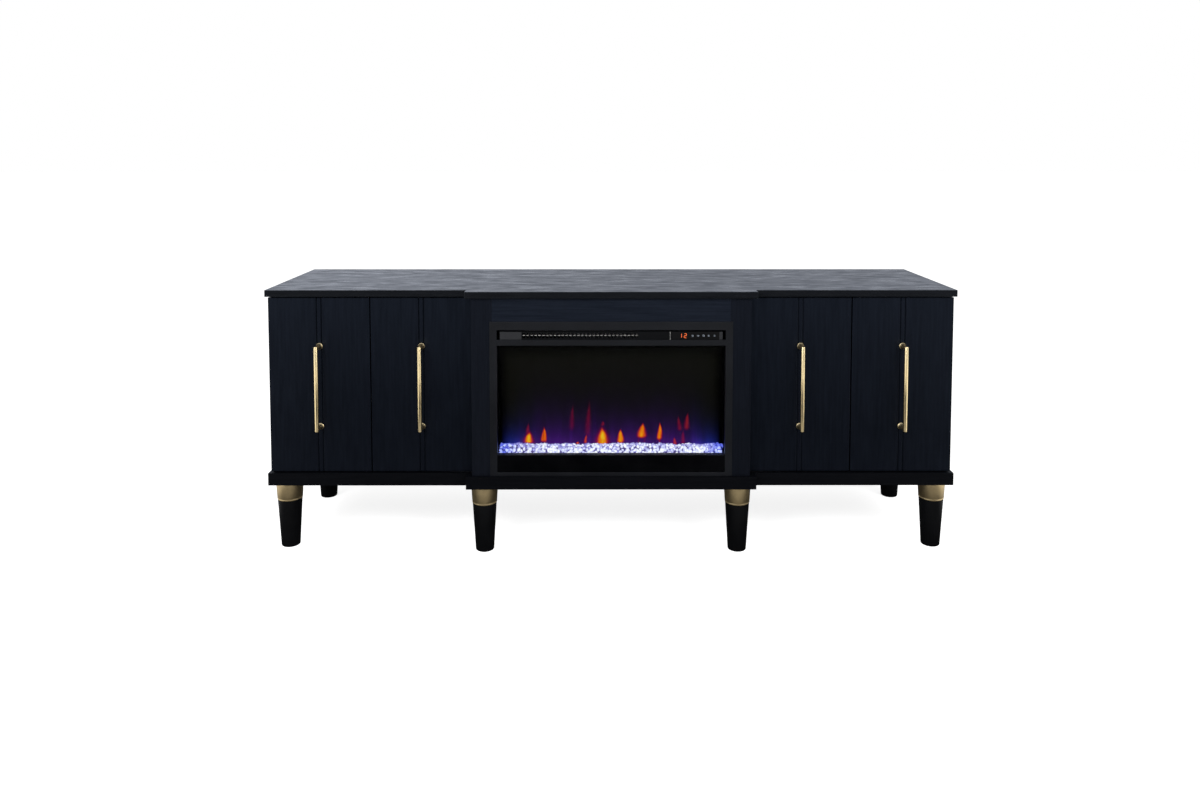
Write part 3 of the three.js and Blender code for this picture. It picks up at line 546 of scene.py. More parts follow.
# %% Turn the six legs
LEG_HEIGHT = 0.175
FOOT_RADIUS = 0.0243
TOP_RADIUS = 0.0347
FOOT_ROUND = 0.003
FOOT_FLAT = 0.016
STUD_RADIUS = 0.006
STUD_TOP = 0.187
COLLAR_START = 0.129
NECK_INSET = 0.0018
SHOULDER_DROP, SHOULDER_INSET, SHOULDER_RISE = 0.0006, 0.0007, 0.0002
LEG_STEPS = 72
# heights of the rings up the taper, which keep the shading of the foot's round close to the foot
TAPER_RINGS = (0.03, 0.06, 0.09)
LEG_PLACES = ["front_left", "centre_left", "centre_right", "front_right", "rear_left", "rear_right"]


def taper(height, inset=0.0):
    """Radius of a leg at a height, less an inset."""
    return FOOT_RADIUS + (TOP_RADIUS - FOOT_RADIUS) * height / LEG_HEIGHT - inset


def rounded(radius, size, steps=5):
    """Quarter round at the foot of a leg."""
    turns = [math.pi / 2 * step / steps for step in range(steps + 1)]
    return [(radius - size + size * math.sin(turn), size - size * math.cos(turn)) for turn in turns]


leg_profile = [(0, 0), (FOOT_FLAT, 0)] + rounded(taper(FOOT_ROUND), FOOT_ROUND)
leg_profile += [(taper(z), z) for z in (*TAPER_RINGS, COLLAR_START - SHOULDER_DROP)]
leg_profile += [
    (taper(COLLAR_START, SHOULDER_INSET), COLLAR_START),
    (taper(COLLAR_START, NECK_INSET), COLLAR_START + SHOULDER_RISE),
    (taper(LEG_HEIGHT, NECK_INSET), LEG_HEIGHT),
    (STUD_RADIUS, LEG_HEIGHT),
    (STUD_RADIUS, STUD_TOP),
    (0, STUD_TOP),
]
leg_shape = turned(leg_profile, LEG_STEPS)
leg_middles = {}
for place in LEG_PLACES:
    middle = middle_of(f"leg_{place}")
    leg_middles[place] = Vector((middle.x, middle.y, 0))
    leg = keep(f"turned_leg_{place}", moved(leg_shape, leg_middles[place]), leg_lacquer, 40.0)
    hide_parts(f"leg_{place}")
print("legs:", len(leg_middles), "with", len(leg_shape[1]), "faces each")

# %% [markdown]
# ## Collars
# A collar is a thin brass sleeve, spun from sheet and slid over the neck of the leg. Its lower rim is
# rolled outwards, a fine groove runs above it, and the upper rim is turned in under the apron.

# %% Turn the six collars
COLLAR_WALL = 0.0013
# each pair: how far the collar stands out from the leg, and how far above its lower rim
COLLAR_OUTSIDE = [
    (0.0, -0.0001), (0.0006, 0.0004), (0.0009, 0.0016), (0.0009, 0.0030), (0.0004, 0.0040),
    (0.0004, 0.0046), (0.0008, 0.0058), (0.0008, 0.0430), (0.0009, 0.0446), (0.0005, 0.0457),
    (-0.0001, 0.0460),
]
collar_profile = []
for out, rise in COLLAR_OUTSIDE:
    height = COLLAR_START + max(rise, 0)
    collar_profile.append((taper(height) + out, height))
collar_profile += [(taper(height, COLLAR_WALL), height) for height in (LEG_HEIGHT, COLLAR_START)]
collar_shape = turned(collar_profile, LEG_STEPS, closed=True)
for place in LEG_PLACES:
    spun = moved(collar_shape, leg_middles[place])
    collar = keep(f"spun_collar_{place}", spun, gold_collar, 28.0)
    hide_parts(f"leg_collar_{place}")
print("collars:", len(LEG_PLACES), "with", len(collar_shape[1]), "faces each")

# %% [markdown]
# ## Pulls
# A pull is a straight round bar on two posts, and each post flares to a round foot on the door. The bar
# of such a pull is brazed to its posts and the joint is polished away. Three turned shapes are laid
# into each other and fused with Boolean, which leaves one closed skin without hidden faces inside.

# %% Turn and fuse one pull
def as_mesh(thing):
    """What an object looks like after its modifiers, as a mesh of its own."""
    bpy.context.view_layer.update()
    graph = bpy.context.evaluated_depsgraph_get()
    seen = thing.evaluated_get(graph)
    return bpy.data.meshes.new_from_object(seen, preserve_all_data_layers=True, depsgraph=graph)


def fused(name, parts):
    """One closed skin round several closed shapes."""
    shapes = [stand(f"{name}_{index}", mesh_of(name, *part)) for index, part in enumerate(parts)]
    for other in shapes[1:]:
        fuse = shapes[0].modifiers.new("fuse", "BOOLEAN")
        fuse.operation = "UNION"
        fuse.solver = "EXACT"
        fuse.object = other
    skin = as_mesh(shapes[0])
    for shape in shapes:
        bpy.data.objects.remove(shape)
    return [corner.co.copy() for corner in skin.vertices], [tuple(face.vertices) for face in skin.polygons]


PULL_RADIUS = 0.0052
PULL_REACH = 0.032
PULL_HALF = 0.108
PULL_STEPS = 32
END_ROUND, END_CORNER = 0.0012, 0.0004
POST_PROFILE = [
    (0, 0), (0.0087, 0), (0.0090, 0.0003), (0.0090, 0.0010), (0.0086, 0.0014), (0.0076, 0.0026),
    (0.0067, 0.0042), (0.0060, 0.0066), (0.0055, 0.0094), (PULL_RADIUS, 0.0122),
    (PULL_RADIUS, PULL_REACH), (0, PULL_REACH),
]
half = PULL_HALF + PULL_RADIUS
end_round = [
    (0, half), (PULL_RADIUS - END_ROUND, half),
    (PULL_RADIUS - END_CORNER, half - END_CORNER), (PULL_RADIUS, half - END_ROUND),
]
bar_profile = [(radius, -height) for radius, height in end_round] + list(reversed(end_round))
parts = [moved(turned(bar_profile, PULL_STEPS), (0, -PULL_REACH, 0))]
for height in (-PULL_HALF, PULL_HALF):
    parts.append(moved(turned(POST_PROFILE, PULL_STEPS), (0, 0, height), 90))
pull_shape = fused("pull", parts)
print("one pull:", len(pull_shape[0]), "corners and", len(pull_shape[1]), "faces")

# %% Hang a pull on each door
for door in DOORS:
    middle = middle_of(f"pull_{door}")
    middle.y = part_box(f"door_{door}")[0].y
    placed = moved(pull_shape, middle)
    pull = keep(f"round_pull_{door}", placed, gold_pull, 50.0, f"door_{door}_leaf")
    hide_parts(f"pull_{door}")
print("pulls hung:", len(DOORS))

# %% [markdown]
# ## Repeating with Geometry Nodes
# Screws, fins and crystals repeat many times. Copying them in a loop works, but a tree with named inputs
# can be changed in one place: how densely, how large, and which shape. Each tree ends in Realize
# Instances and Set Material, so that real faces with a finish are left, and its result is kept as a
# plain mesh.

# %% Grow a tree's result and keep it
def grow_tree(name, kinds):
    """A Geometry Nodes tree with named inputs, returned with its inputs and its output node."""
    tree = bpy.data.node_groups.new(name, "GeometryNodeTree")
    tree.interface.new_socket("Geometry", in_out="INPUT", socket_type="NodeSocketGeometry")
    for label, kind in kinds.items():
        tree.interface.new_socket(label, in_out="INPUT", socket_type=f"NodeSocket{kind}")
    tree.interface.new_socket("Geometry", in_out="OUTPUT", socket_type="NodeSocketGeometry")
    return tree, tree.nodes.new("NodeGroupInput").outputs, tree.nodes.new("NodeGroupOutput")


def grown(name, seed, tree, sizes, sharp=35.0, body="cabinet"):
    """Runs a tree on a seed mesh, keeps the outcome as a plain mesh, and hangs it on a body."""
    piece = stand(name, seed)
    grow = piece.modifiers.new("grow", "NODES")
    grow.node_group = tree
    for item in tree.interface.items_tree:
        if item.item_type == "SOCKET" and item.in_out == "INPUT" and item.name in sizes:
            grow[item.identifier] = sizes[item.name]
    mesh = as_mesh(piece)
    piece.modifiers.remove(grow)
    piece.data = mesh
    mesh.name = name
    print(f"{name}: {len(mesh.polygons)} faces")
    return hang(piece, body, sharp)


print("helpers ready: grow_tree, grown")

# %% A shape repeated at points
fix_tree, start, end = grow_tree("fasteners", {"Shape": "Object", "Finish": "Material"})
shape = put(fix_tree, "GeometryNodeObjectInfo", {"Object": start["Shape"], "As Instance": True}, "Geometry")
facing = put(fix_tree, "GeometryNodeInputNamedAttribute", {"Name": "facing"}, data_type="FLOAT_VECTOR")
turn = put(fix_tree, "FunctionNodeAlignRotationToVector", {"Vector": facing}, axis="Z")
placed = {"Points": start[0], "Instance": shape, "Rotation": turn}
many = put(fix_tree, "GeometryNodeInstanceOnPoints", placed)
real = put(fix_tree, "GeometryNodeRealizeInstances", {0: many})
done = put(fix_tree, "GeometryNodeSetMaterial", {"Geometry": real, "Material": start["Finish"]})
fill(end, {0: done})
BACK = (0, 1, 0)
UP = (0, 0, 1)


def repeated(name, shape, spots, finish, body="cabinet"):
    """Repeats a shape at spots, each a point and the direction that it faces there."""
    seed = mesh_of(f"{name}_points", [point for point, _ in spots], [])
    facing = seed.attributes.new("facing", "FLOAT_VECTOR", "POINT")
    for index, (_, direction) in enumerate(spots):
        facing.data[index].vector = direction
    pattern = stand("pattern", mesh_of("pattern", *shape))
    grown(name, seed, fix_tree, {"Shape": pattern, "Finish": finish}, body=body)
    bpy.data.objects.remove(pattern)


print("tree ready:", fix_tree.name, "with", len(fix_tree.nodes), "nodes")

# %% [markdown]
# ## Screws
# Pan head screws hold the backs to the boards, and smaller ones hold the hinges and the heater's rear
# cover. A head is a low dome with a socket sunk in it, turned with few steps because there are so many
# of them.

# %% Drive the screws
SCREW_STEPS = 12


def screw(radius, height):
    """A pan head with a round socket, standing on its own origin."""
    outside = [(radius, -0.0001), (radius, height * 0.35), (radius * 0.72, height * 0.86)]
    socket = [(radius * 0.4, height), (radius * 0.34, height * 0.5), (0, height * 0.45)]
    return turned(outside + socket, SCREW_STEPS)


def row(start_point, end_point, pitch):
    """Points from one end to the other, evenly spread at about a pitch."""
    count = max(2, round((end_point - start_point).length / pitch) + 1)
    return [start_point.lerp(end_point, index / (count - 1)) for index in range(count)]


def spots_round(name, edge, y, pitch):
    """Spots that face the back, in a rectangle that lies an edge inside a model part's box."""
    low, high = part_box(name)
    left, right, foot, top = low.x + edge, high.x - edge, low.z + edge, high.z - edge
    points = []
    for z in (foot, top):
        points += row(Vector((left, y, z)), Vector((right, y, z)), pitch)
    for x in (left, right):
        points += row(Vector((x, y, foot)), Vector((x, y, top)), pitch)[1:-1]
    return [(point, BACK) for point in points]


BACK_EDGE, BACK_PITCH = 0.009, 0.118
COVER_EDGE, COVER_PITCH = 0.007, 0.15
REAR_SHEET = -0.061
board_screw = screw(0.0042, 0.0022)
small_screw = screw(0.0034, 0.0012)
back_spots = []
for part in each("back_panel", SIDES):
    back_spots += spots_round(part, BACK_EDGE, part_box(part)[1].y, BACK_PITCH)
repeated("back_screws", board_screw, back_spots, nickel)
cover_spots = spots_round("insert_housing", COVER_EDGE, REAR_SHEET, COVER_PITCH)
repeated("cover_screws", small_screw, cover_spots, dark_steel)

# %% Screw the hinges to the doors and to the boards
EAR = 0.0055
ARM_SCREWS = (0.012, 0.034)
OUTER_WALL = 0.8
for door in DOORS:
    ears = []
    for cup in each(f"hinge_cup_{door}", ("lower", "upper")):
        low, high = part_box(cup)
        x = (low.x + high.x) / 2
        ears += [(Vector((x, high.y, z)), BACK) for z in (low.z + EAR, high.z - EAR)]
    repeated(f"cup_screws_{door}", small_screw, ears, nickel, f"door_{door}_leaf")

arm_spots = []
for place in HINGE_PLACES:
    low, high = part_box(f"hinge_arm_{place}")
    wall_side = -1 if max(abs(low.x), abs(high.x)) > OUTER_WALL else 1
    out = wall_side * (-1 if low.x < 0 else 1)
    face_x = high.x if out > 0 else low.x
    for setback in ARM_SCREWS:
        arm_spots.append((Vector((face_x, high.y - setback, (low.z + high.z) / 2)), (out, 0, 0)))
repeated("arm_screws", small_screw, arm_spots, nickel)

# %% [markdown]
# ## Shelf pins, pin holes and cable grommets
# Each shelf lies on four steel pins, in one of a column of holes that let it be moved. The holes are
# bored 32 mm apart near the front and back of each bay. A moulded ring lines each cable hole in the back.

# %% Pins and holes
PIN_PROFILE = [(0, -0.001), (0.0024, -0.001), (0.0024, 0.007), (0.002, 0.0078), (0, 0.0078)]
HOLE_PROFILE = [(0.0026, -0.0001), (0.0026, 0.00012), (0.0021, 0.00012), (0, 0.00004)]
HOLE_PITCH = 0.032
HOLE_SETBACK = 0.035
HOLES_EACH_WAY = 4
PIN_DROP = 0.0025
PIN_STEPS = 14
CLEAR_BELOW, CLEAR_ABOVE = 0.006, 0.004
pin_spots = []
hole_spots = []
for side in SIDES:
    low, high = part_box(f"shelf_{side}")
    for y in (low.y + HOLE_SETBACK, high.y - HOLE_SETBACK):
        for wall, out in ((low.x, 1), (high.x, -1)):
            pin_spots.append((Vector((wall, y, low.z - PIN_DROP)), (out, 0, 0)))
            for index in range(-HOLES_EACH_WAY, HOLES_EACH_WAY + 1):
                height = low.z - PIN_DROP + HOLE_PITCH * index
                behind_shelf = low.z - CLEAR_BELOW < height < high.z + CLEAR_ABOVE
                if not behind_shelf:
                    hole_spots.append((Vector((wall, y, height)), (out, 0, 0)))
repeated("shelf_pins", turned(PIN_PROFILE, PIN_STEPS), pin_spots, nickel)
repeated("pin_holes", turned(HOLE_PROFILE, PIN_STEPS), hole_spots, sheet_coat)

# %% Grommets
GROMMET_PROFILE = [
    (0.0298, -0.005), (0.0298, 0.0), (0.0366, 0.0), (0.0366, 0.0012), (0.0352, 0.0026),
    (0.0312, 0.0034), (0.0296, 0.003), (0.0288, 0.0018), (0.0288, -0.005),
]
CABLE_HOLE_X = 0.457
CABLE_HOLE_Z = 0.288
GROMMET_STEPS = 56
grommet = turned(GROMMET_PROFILE, GROMMET_STEPS, closed=True)
for side, x in zip(SIDES, (-CABLE_HOLE_X, CABLE_HOLE_X)):
    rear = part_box(f"back_panel_{side}")[1].y
    lying = moved(grommet, (x, rear, CABLE_HOLE_Z), -90)
    keep(f"cable_grommet_{side}", lying, frame_coat, 35.0)
print("grommets:", len(SIDES), "with", len(grommet[1]), "faces each")

# %% [markdown]
# ## Behind the vent slots
# Warm air leaves through a row of upright slots. Behind them lies one level blade that turns the air
# forward, and its rounded nose catches the light as a row of small dots. Thin fins stand in the slots of
# the right two thirds, so the dots look closer together there.

# %% Outlines given a thickness
def solid(outlines, ends, along):
    """Joins outlines that lie at ends on one axis, X is 0 and Y is 1, and closes the first and last."""
    corners = []
    for outline, end in zip(outlines, ends):
        corners += [Vector((*pair[:along], end, *pair[along:])) for pair in outline]
    count = len(outlines[0])
    last = len(corners) - count
    faces = [tuple(reversed(range(count))), tuple(range(last, last + count))]
    for first in range(0, last, count):
        for here in range(count):
            after = (here + 1) % count
            faces.append((first + here, first + after, first + count + after, first + count + here))
    return corners, faces


def prisms(outlines, near, far, along=1):
    """Flat outlines given a thickness, all in one shape."""
    corners = []
    faces = []
    for outline in outlines:
        first = len(corners)
        more, sides = solid([outline, outline], (near, far), along)
        corners += more
        faces += [tuple(first + corner for corner in side) for side in sides]
    return corners, faces


def rectangle(x0, x1, z0, z1):
    """An upright rectangle, clockwise as seen from the front."""
    return [(x0, z0), (x0, z1), (x1, z1), (x1, z0)]


print("a test prism has", len(prisms([rectangle(0, 1, 0, 1)], 0, 1)[1]), "faces")

# %% The blade and the fins
OPEN_LEFT = -0.2322
OPEN_RIGHT = 0.0738
OPEN_PLAY = 0.0003
SLOTS, FIRST_FIN = 30, 10
SLOT_PITCH = 0.0102
FIN_SHIFT = 0.0041
FIN_HALF = 0.0004
FIN_RISE, FIN_STRAIGHT = 0.0078, 0.0072
FIN_FRONT, FIN_CORNER, FIN_REAR = 0.0048, 0.0052, 0.0006
NOSE_DEPTH, NOSE_RISE = 0.0013, 0.0011
NOSE_SETBACK = 0.0022
NOSE_STEPS = 8
BLADE_TOP, BLADE_FOOT, BLADE_REAR = 0.0034, 0.0012, 0.0005
low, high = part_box("outlet_grille")
strip_middle = (low.z + high.z) / 2
nose_y = low.y + NOSE_SETBACK + NOSE_DEPTH
blade_back = high.y - BLADE_REAR
blade_section = [(blade_back, strip_middle + BLADE_TOP), (blade_back, strip_middle + BLADE_FOOT)]
for step in range(NOSE_STEPS, -1, -1):
    turn = math.radians(90 + 180 * step / NOSE_STEPS)
    blade_section.append((nose_y + NOSE_DEPTH * math.cos(turn), strip_middle + NOSE_RISE * math.sin(turn)))
blade = prisms([blade_section], OPEN_LEFT + OPEN_PLAY, OPEN_RIGHT - OPEN_PLAY, 0)
keep("vent_blade", blade, blade_steel, 35.0)

fin_back, fin_front, fin_corner = high.y - FIN_REAR, low.y + FIN_FRONT, low.y + FIN_CORNER
fin_section = [
    (fin_back, -FIN_RISE), (fin_back, FIN_RISE), (fin_corner, FIN_RISE),
    (fin_front, FIN_STRAIGHT), (fin_front, -FIN_STRAIGHT), (fin_corner, -FIN_RISE),
]
fin_spots = []
for slot in range(FIRST_FIN, SLOTS):
    fin_x = OPEN_LEFT + slot * SLOT_PITCH + FIN_SHIFT
    fin_spots.append((Vector((fin_x, 0, strip_middle)), UP))
repeated("vent_fins", prisms([fin_section], -FIN_HALF, FIN_HALF, 0), fin_spots, dark_steel)

# %% [markdown]
# ## The lower glass
# Under the viewing glass a strip of back-painted black glass lies in a shallow recess of the frame. It is
# a real plate with ground edges, so a bevelled plate is cut here, a hair smaller than its recess.

# %% Cut the lower glass
RECESS = 0.003
THICK = 0.0022
GLUE = 0.0001
GROUND = 0.0006
GLASS_HALF = 0.2996
GLASS_FOOT = 0.0114
GLASS_TOP = 0.0572
low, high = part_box("insert_front_frame")
front = low.y + RECESS - THICK
back = low.y + RECESS - GLUE
foot, top = low.z + GLASS_FOOT, low.z + GLASS_TOP
outer = rectangle(-GLASS_HALF, GLASS_HALF, foot, top)
inner = rectangle(-GLASS_HALF + GROUND, GLASS_HALF - GROUND, foot + GROUND, top - GROUND)
lower_glass = solid([inner, outer, outer, inner], (front, front + GROUND, back - GROUND, back), 1)
keep("lower_glass", lower_glass, back_painted, 20.0)
print("lower glass:", len(lower_glass[1]), "faces")

# %% [markdown]
# ## The control window
# At the right end of the vent strip a smoked window hides two lit figures and five touch marks. Lamps
# behind a printed mask make them glow evenly, so each is a thin flat shape with a soft glow and no
# modelling of the lamps. The figures are plain seven-bar numerals and the marks are common symbols.

# %% Strokes of figures and marks
window_low, window_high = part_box("control_panel")
window_middle = (window_low.z + window_high.z) / 2
FIGURE_HEIGHT = 0.0110
FIGURE_WIDTH = 0.0062
FIGURE_STROKE = 0.0013


def bar_mark(x, rise, length, width, angle=0.0):
    """A bar with pointed ends at a rise over the window's middle, turned by an angle in degrees."""
    half, side = length / 2, width / 2
    points = [(-half, 0), (-half + side, side), (half - side, side)]
    points += [(half, 0), (half - side, -side), (-half + side, -side)]
    cosine, sine = math.cos(math.radians(angle)), math.sin(math.radians(angle))
    z = window_middle + rise
    return [(x + reach * cosine - off * sine, z + reach * sine + off * cosine) for reach, off in points]


def arc_mark(x, rise, radius, width, first=0.0, last=360.0, steps=20):
    """Short pieces that make a ring or a part of one."""
    z = window_middle + rise
    inner, outer = radius - width / 2, radius + width / 2
    pieces = []
    for step in range(steps):
        begin = math.radians(first + (last - first) * step / steps)
        stop = math.radians(first + (last - first) * (step + 1) / steps)
        ends = ((inner, begin), (inner, stop), (outer, stop), (outer, begin))
        pieces.append([(x + reach * math.cos(turn), z + reach * math.sin(turn)) for reach, turn in ends])
    return pieces


def numeral(x, bars):
    """A seven-bar numeral; bars names the lit ones."""
    half, side = FIGURE_HEIGHT / 2, FIGURE_WIDTH / 2
    places = {"top": (0, half), "middle": (0, 0), "bottom": (0, -half)}
    for name, across in (("left", -side), ("right", side)):
        places[f"upper_{name}"] = (across, half / 2)
        places[f"lower_{name}"] = (across, -half / 2)
    strokes = []
    for bar in bars:
        across, rise = places[bar]
        length, angle = (half, 90) if across else (FIGURE_WIDTH, 0)
        strokes.append(bar_mark(x + across, rise, length * 0.94, FIGURE_STROKE, angle))
    return strokes


figures = numeral(0.1813, ["upper_right", "lower_right"])
figures += numeral(0.1943, ["top", "upper_right", "middle", "lower_left", "bottom"])
print("bars of the numerals:", len(figures))

# %% Five touch marks
POWER, LAMP, TIMER, LEVELS, HEAT = 0.2137, 0.2280, 0.2422, 0.2552, 0.2708
RAY_REACH = 0.0026
marks = [bar_mark(POWER, 0.0008, 0.0030, 0.0009, 90)]
marks += arc_mark(POWER, 0, 0.0022, 0.0007, 125, 415)
marks += arc_mark(LAMP, 0, 0.0012, 0.0008)
for angle in range(0, 360, 45):
    turn = math.radians(angle)
    ray_x = LAMP + RAY_REACH * math.cos(turn)
    marks.append(bar_mark(ray_x, RAY_REACH * math.sin(turn), 0.0010, 0.0006, angle))
marks += arc_mark(TIMER, 0, 0.0023, 0.0007)
marks += [bar_mark(TIMER, 0.0006, 0.0017, 0.0006, 90), bar_mark(TIMER + 0.0006, 0, 0.0015, 0.0006)]
marks += [bar_mark(LEVELS, rise, 0.0044, 0.0008) for rise in (-0.0018, 0.0, 0.0018)]
marks += arc_mark(HEAT, -0.0007, 0.0015, 0.0007, 150, 390)
for lean, angle in ((-0.0008, 62), (0.0008, 118)):
    marks.append(bar_mark(HEAT + lean, 0.0012, 0.0027, 0.0007, angle))
print("pieces of the marks:", len(marks))

# %% Light them
def lit(name, colour, strength):
    """A mask lit from behind: an even glow with a faint grain of the diffuser."""
    finish, tree, shader = new_finish(name)
    grain = speckle(stretched(tree, 400.0), 2.0)
    fill(shader, {
        "Base Color": tinted(colour, 0.3),
        "Roughness": 0.4,
        "Emission Color": colour,
        "Emission Strength": remap(grain, 0.2, 0.8, strength * 0.85, strength * 1.15),
    })
    return finish


INLAY_OUT, INLAY_IN = 0.00035, 0.0002
SEAM_LEFT, SEAM_RIGHT, SEAM_EDGE = 0.0004, 0.0006, 0.0008
CAP_LEFT, CAP_RIGHT, CAP_EDGE = 0.2836, 0.2918, 0.001
CAP_GAP = 0.003


def on_strip(name, outlines, finish):
    """Keeps flat shapes that stand a hair out of the front of the strip and its window."""
    strip_front = window_low.y
    keep(name, prisms(outlines, strip_front - INLAY_OUT, strip_front + INLAY_IN), finish)


figure_glow = lit("figure_glow", (1.0, 0.16, 0.03), 1.0)
mark_glow = lit("mark_glow", (0.75, 0.85, 1.0), 0.075)
on_strip("window_figures", figures, figure_glow)
on_strip("window_marks", marks, mark_glow)
left, foot, top = window_low.x, window_low.z, window_high.z
seam = rectangle(left - SEAM_LEFT, left + SEAM_RIGHT, foot + SEAM_EDGE, top - SEAM_EDGE)
on_strip("window_seam", [seam], nickel)
right_cap = rectangle(CAP_LEFT, CAP_RIGHT, foot + CAP_EDGE, top - CAP_EDGE)
on_strip("window_cap", [right_cap], cap_coat)
low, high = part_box("outlet_grille")
left_cap = rectangle(low.x + CAP_EDGE, OPEN_LEFT - CAP_GAP, low.z + CAP_EDGE, high.z - CAP_EDGE)
on_strip("vent_cap", [left_cap], cap_coat)
print("window glow:", figure_glow.name, mark_glow.name)

# %% [markdown]
# ## Glass
# The viewing glass is tempered and lightly smoked, so what is behind it looks deeper and less bright.
# It is coated against reflections, which a low index of refraction gives. A Principled shader with full
# transmission and a grey colour does the rest.

# %% Smoked glass
smoked, tree, shader = new_finish("smoked_glass")
smear = speckle(stretched(tree, 16.0, 16.0, 5.0), 4.0, 0.6)
fill(shader, {
    "Base Color": (0.74, 0.74, 0.74),
    "Roughness": remap(smear, 0.35, 0.75, 0.0, 0.035),
    "Transmission Weight": 1.0,
    "IOR": 1.09,
})
dress(["viewing_glass"], smoked, 0.0003, 1)
print("glass:", smoked.name)

# %% [markdown]
# ## The bed of crystals
# Crushed glass lies heaped on a ledge behind the viewing glass, lit from below in blue and violet. The
# heap is hundreds of small faceted pieces. Modelling each by hand isn't practical, and one bumpy sheet
# would look like gravel, so a tree scatters a small faceted ball over a low mound, with its own size,
# turn and shade for each. The shade is stored as an attribute, so the finish can read it. The mound
# stays in the heap, where it glows a deep violet in the gaps.

# %% Shape the mound
low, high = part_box("crystal_bed")
bed_top = high.z
MOUND_STEPS = 90
MOUND_END = 0.008
# each wave along the heap: height in metres, radians per metre, and start
HEAP_WAVES = ((0.0013, 21.0, 0.6), (0.0014, 97.0, 0.0))
# from the front to the back; the swell of the heap grows over the first three steps
mound_section = [
    (low.y + 0.0085, low.z + 0.0005),
    (low.y + 0.0082, low.z + 0.0100),
    (low.y + 0.0096, low.z + 0.0160),
    (low.y + 0.0140, high.z - 0.0118),
    (low.y + 0.0220, high.z - 0.0112),
    (low.y + 0.0310, high.z - 0.0132),
    (high.y - 0.0080, high.z - 0.0162),
]
corners = []
for step in range(MOUND_STEPS + 1):
    x = low.x + MOUND_END + (high.x - low.x - 2 * MOUND_END) * step / MOUND_STEPS
    swell = sum(height * math.sin(rate * x + start) for height, rate, start in HEAP_WAVES)
    for index, (y, z) in enumerate(mound_section):
        corners.append(Vector((x, y, z + swell * min(1.0, index / 3))))
width = len(mound_section)
faces = []
for step in range(MOUND_STEPS):
    for base in range(step * width, step * width + width - 1):
        faces.append((base, base + width, base + width + 1, base + 1))
mound = mesh_of("mound", corners, faces)
facing = [round(value, 2) for value in mound.polygons[0].normal]
print("mound:", len(faces), "faces, of which the first faces", facing)

# %% Scatter the crystals
heap_inputs = {"Density": "Float", "Size": "Float", "Seed": "Int", "Finish": "Material"}
heap_tree, start, end = grow_tree("crystal_heap", heap_inputs)


def random_vector(low, high, seed):
    """A direction or a size of its own for each crystal, between two numbers."""
    ends = {0: (low,) * 3, 1: (high,) * 3, "Seed": seed}
    return put(heap_tree, "FunctionNodeRandomValue", ends, data_type="FLOAT_VECTOR")


CRYSTAL_SPACING = 0.0064
spread = {"Mesh": start[0], "Distance Min": CRYSTAL_SPACING}
spread.update({"Density Max": start["Density"], "Seed": start["Seed"]})
spots = put(heap_tree, "GeometryNodeDistributePointsOnFaces", spread, distribute_method="POISSON")
ball = put(heap_tree, "GeometryNodeMeshIcoSphere", {"Radius": start["Size"], "Subdivisions": 1})
turns = random_vector(0, 6.28, 3)
sizes = random_vector(0.5, 1.04, 5)
scattered = {"Points": spots, "Instance": ball, "Rotation": turns, "Scale": sizes}
heap = put(heap_tree, "GeometryNodeInstanceOnPoints", scattered)
tone = put(heap_tree, "FunctionNodeRandomValue", {2: 0.45, 3: 1.0, "Seed": 9}, 1, data_type="FLOAT")
note = {"Geometry": heap, "Name": "tone", "Value": tone}
noted = put(heap_tree, "GeometryNodeStoreNamedAttribute", note, data_type="FLOAT", domain="INSTANCE")
real = put(heap_tree, "GeometryNodeRealizeInstances", {0: noted})
both = put(heap_tree, "GeometryNodeJoinGeometry", {0: real})
fill(both.node, {0: start[0]})
done = put(heap_tree, "GeometryNodeSetMaterial", {"Geometry": both, "Material": start["Finish"]})
fill(end, {0: done})
print("tree ready:", heap_tree.name, "with", len(heap_tree.nodes), "nodes")

# %% [markdown]
# ### The look of a crystal
# Each piece glows with the light that runs through it: most are nearly white, some violet, and towards
# both ends of the bed, where the lamps are, they turn a strong blue. Facets that face the room get a
# painted highlight and those that lean away painted shade, which gives each piece a violet outline, and
# the pieces low in the heap are painted brighter.

# %% Crystal finish
FRONT_SHARE, TOP_SHARE = -0.9, 0.42
CREST_DEPTH, FOOT_DEPTH = 0.005, 0.02
BLUE_BED = (0.24, 0.285)
crystal, tree, shader = new_finish("lit_crystal")
where = axes(tree)
lean = axes(tree, "Normal")
tone = put(tree, "Attribute", out="Fac", attribute_name="tone")
# painted highlight on facets that face the room, painted shade on those that lean away
painted_facet_light = remap(plus(times(lean[1], FRONT_SHARE), times(lean[2], TOP_SHARE)), 0.25, 1.0, 0.3, 0.95)
cloud = speckle(stretched(tree, 28.0), 2.0)
level = plus(times(tone, painted_facet_light), times(cloud, 0.12))
# pieces low in the heap are painted brighter
level = plus(level, remap(where[2], bed_top - CREST_DEPTH, bed_top - FOOT_DEPTH, 0.03, 0.18))
middle_shade = shades(
    level, (0.22, (0.045, 0.016, 0.15)), (0.4, (0.19, 0.16, 0.62)), (0.56, (0.38, 0.38, 0.78)),
    (0.7, (0.64, 0.7, 0.93)), (0.86, (0.95, 1.0, 1.0)))
end_shade = shades(
    level, (0.22, (0.006, 0.01, 0.16)), (0.42, (0.05, 0.08, 0.7)), (0.66, (0.13, 0.18, 0.9)),
    (0.95, (0.5, 0.6, 1.0)))
at_end = remap(without_sign(where[0]), *BLUE_BED)
fill(shader, {
    "Emission Color": mixed(at_end, middle_shade, end_shade),
    "Emission Strength": remap(level, 0.2, 0.8, 0.95, 1.25),
    "Base Color": (0.12, 0.12, 0.2),
    "Roughness": 0.12,
})
heap_sizes = {"Density": 60000.0, "Size": 0.0078, "Seed": 11, "Finish": crystal}
crystals = grown("crystal_heap", mound, heap_tree, heap_sizes, 10.0)
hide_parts("crystal_bed")
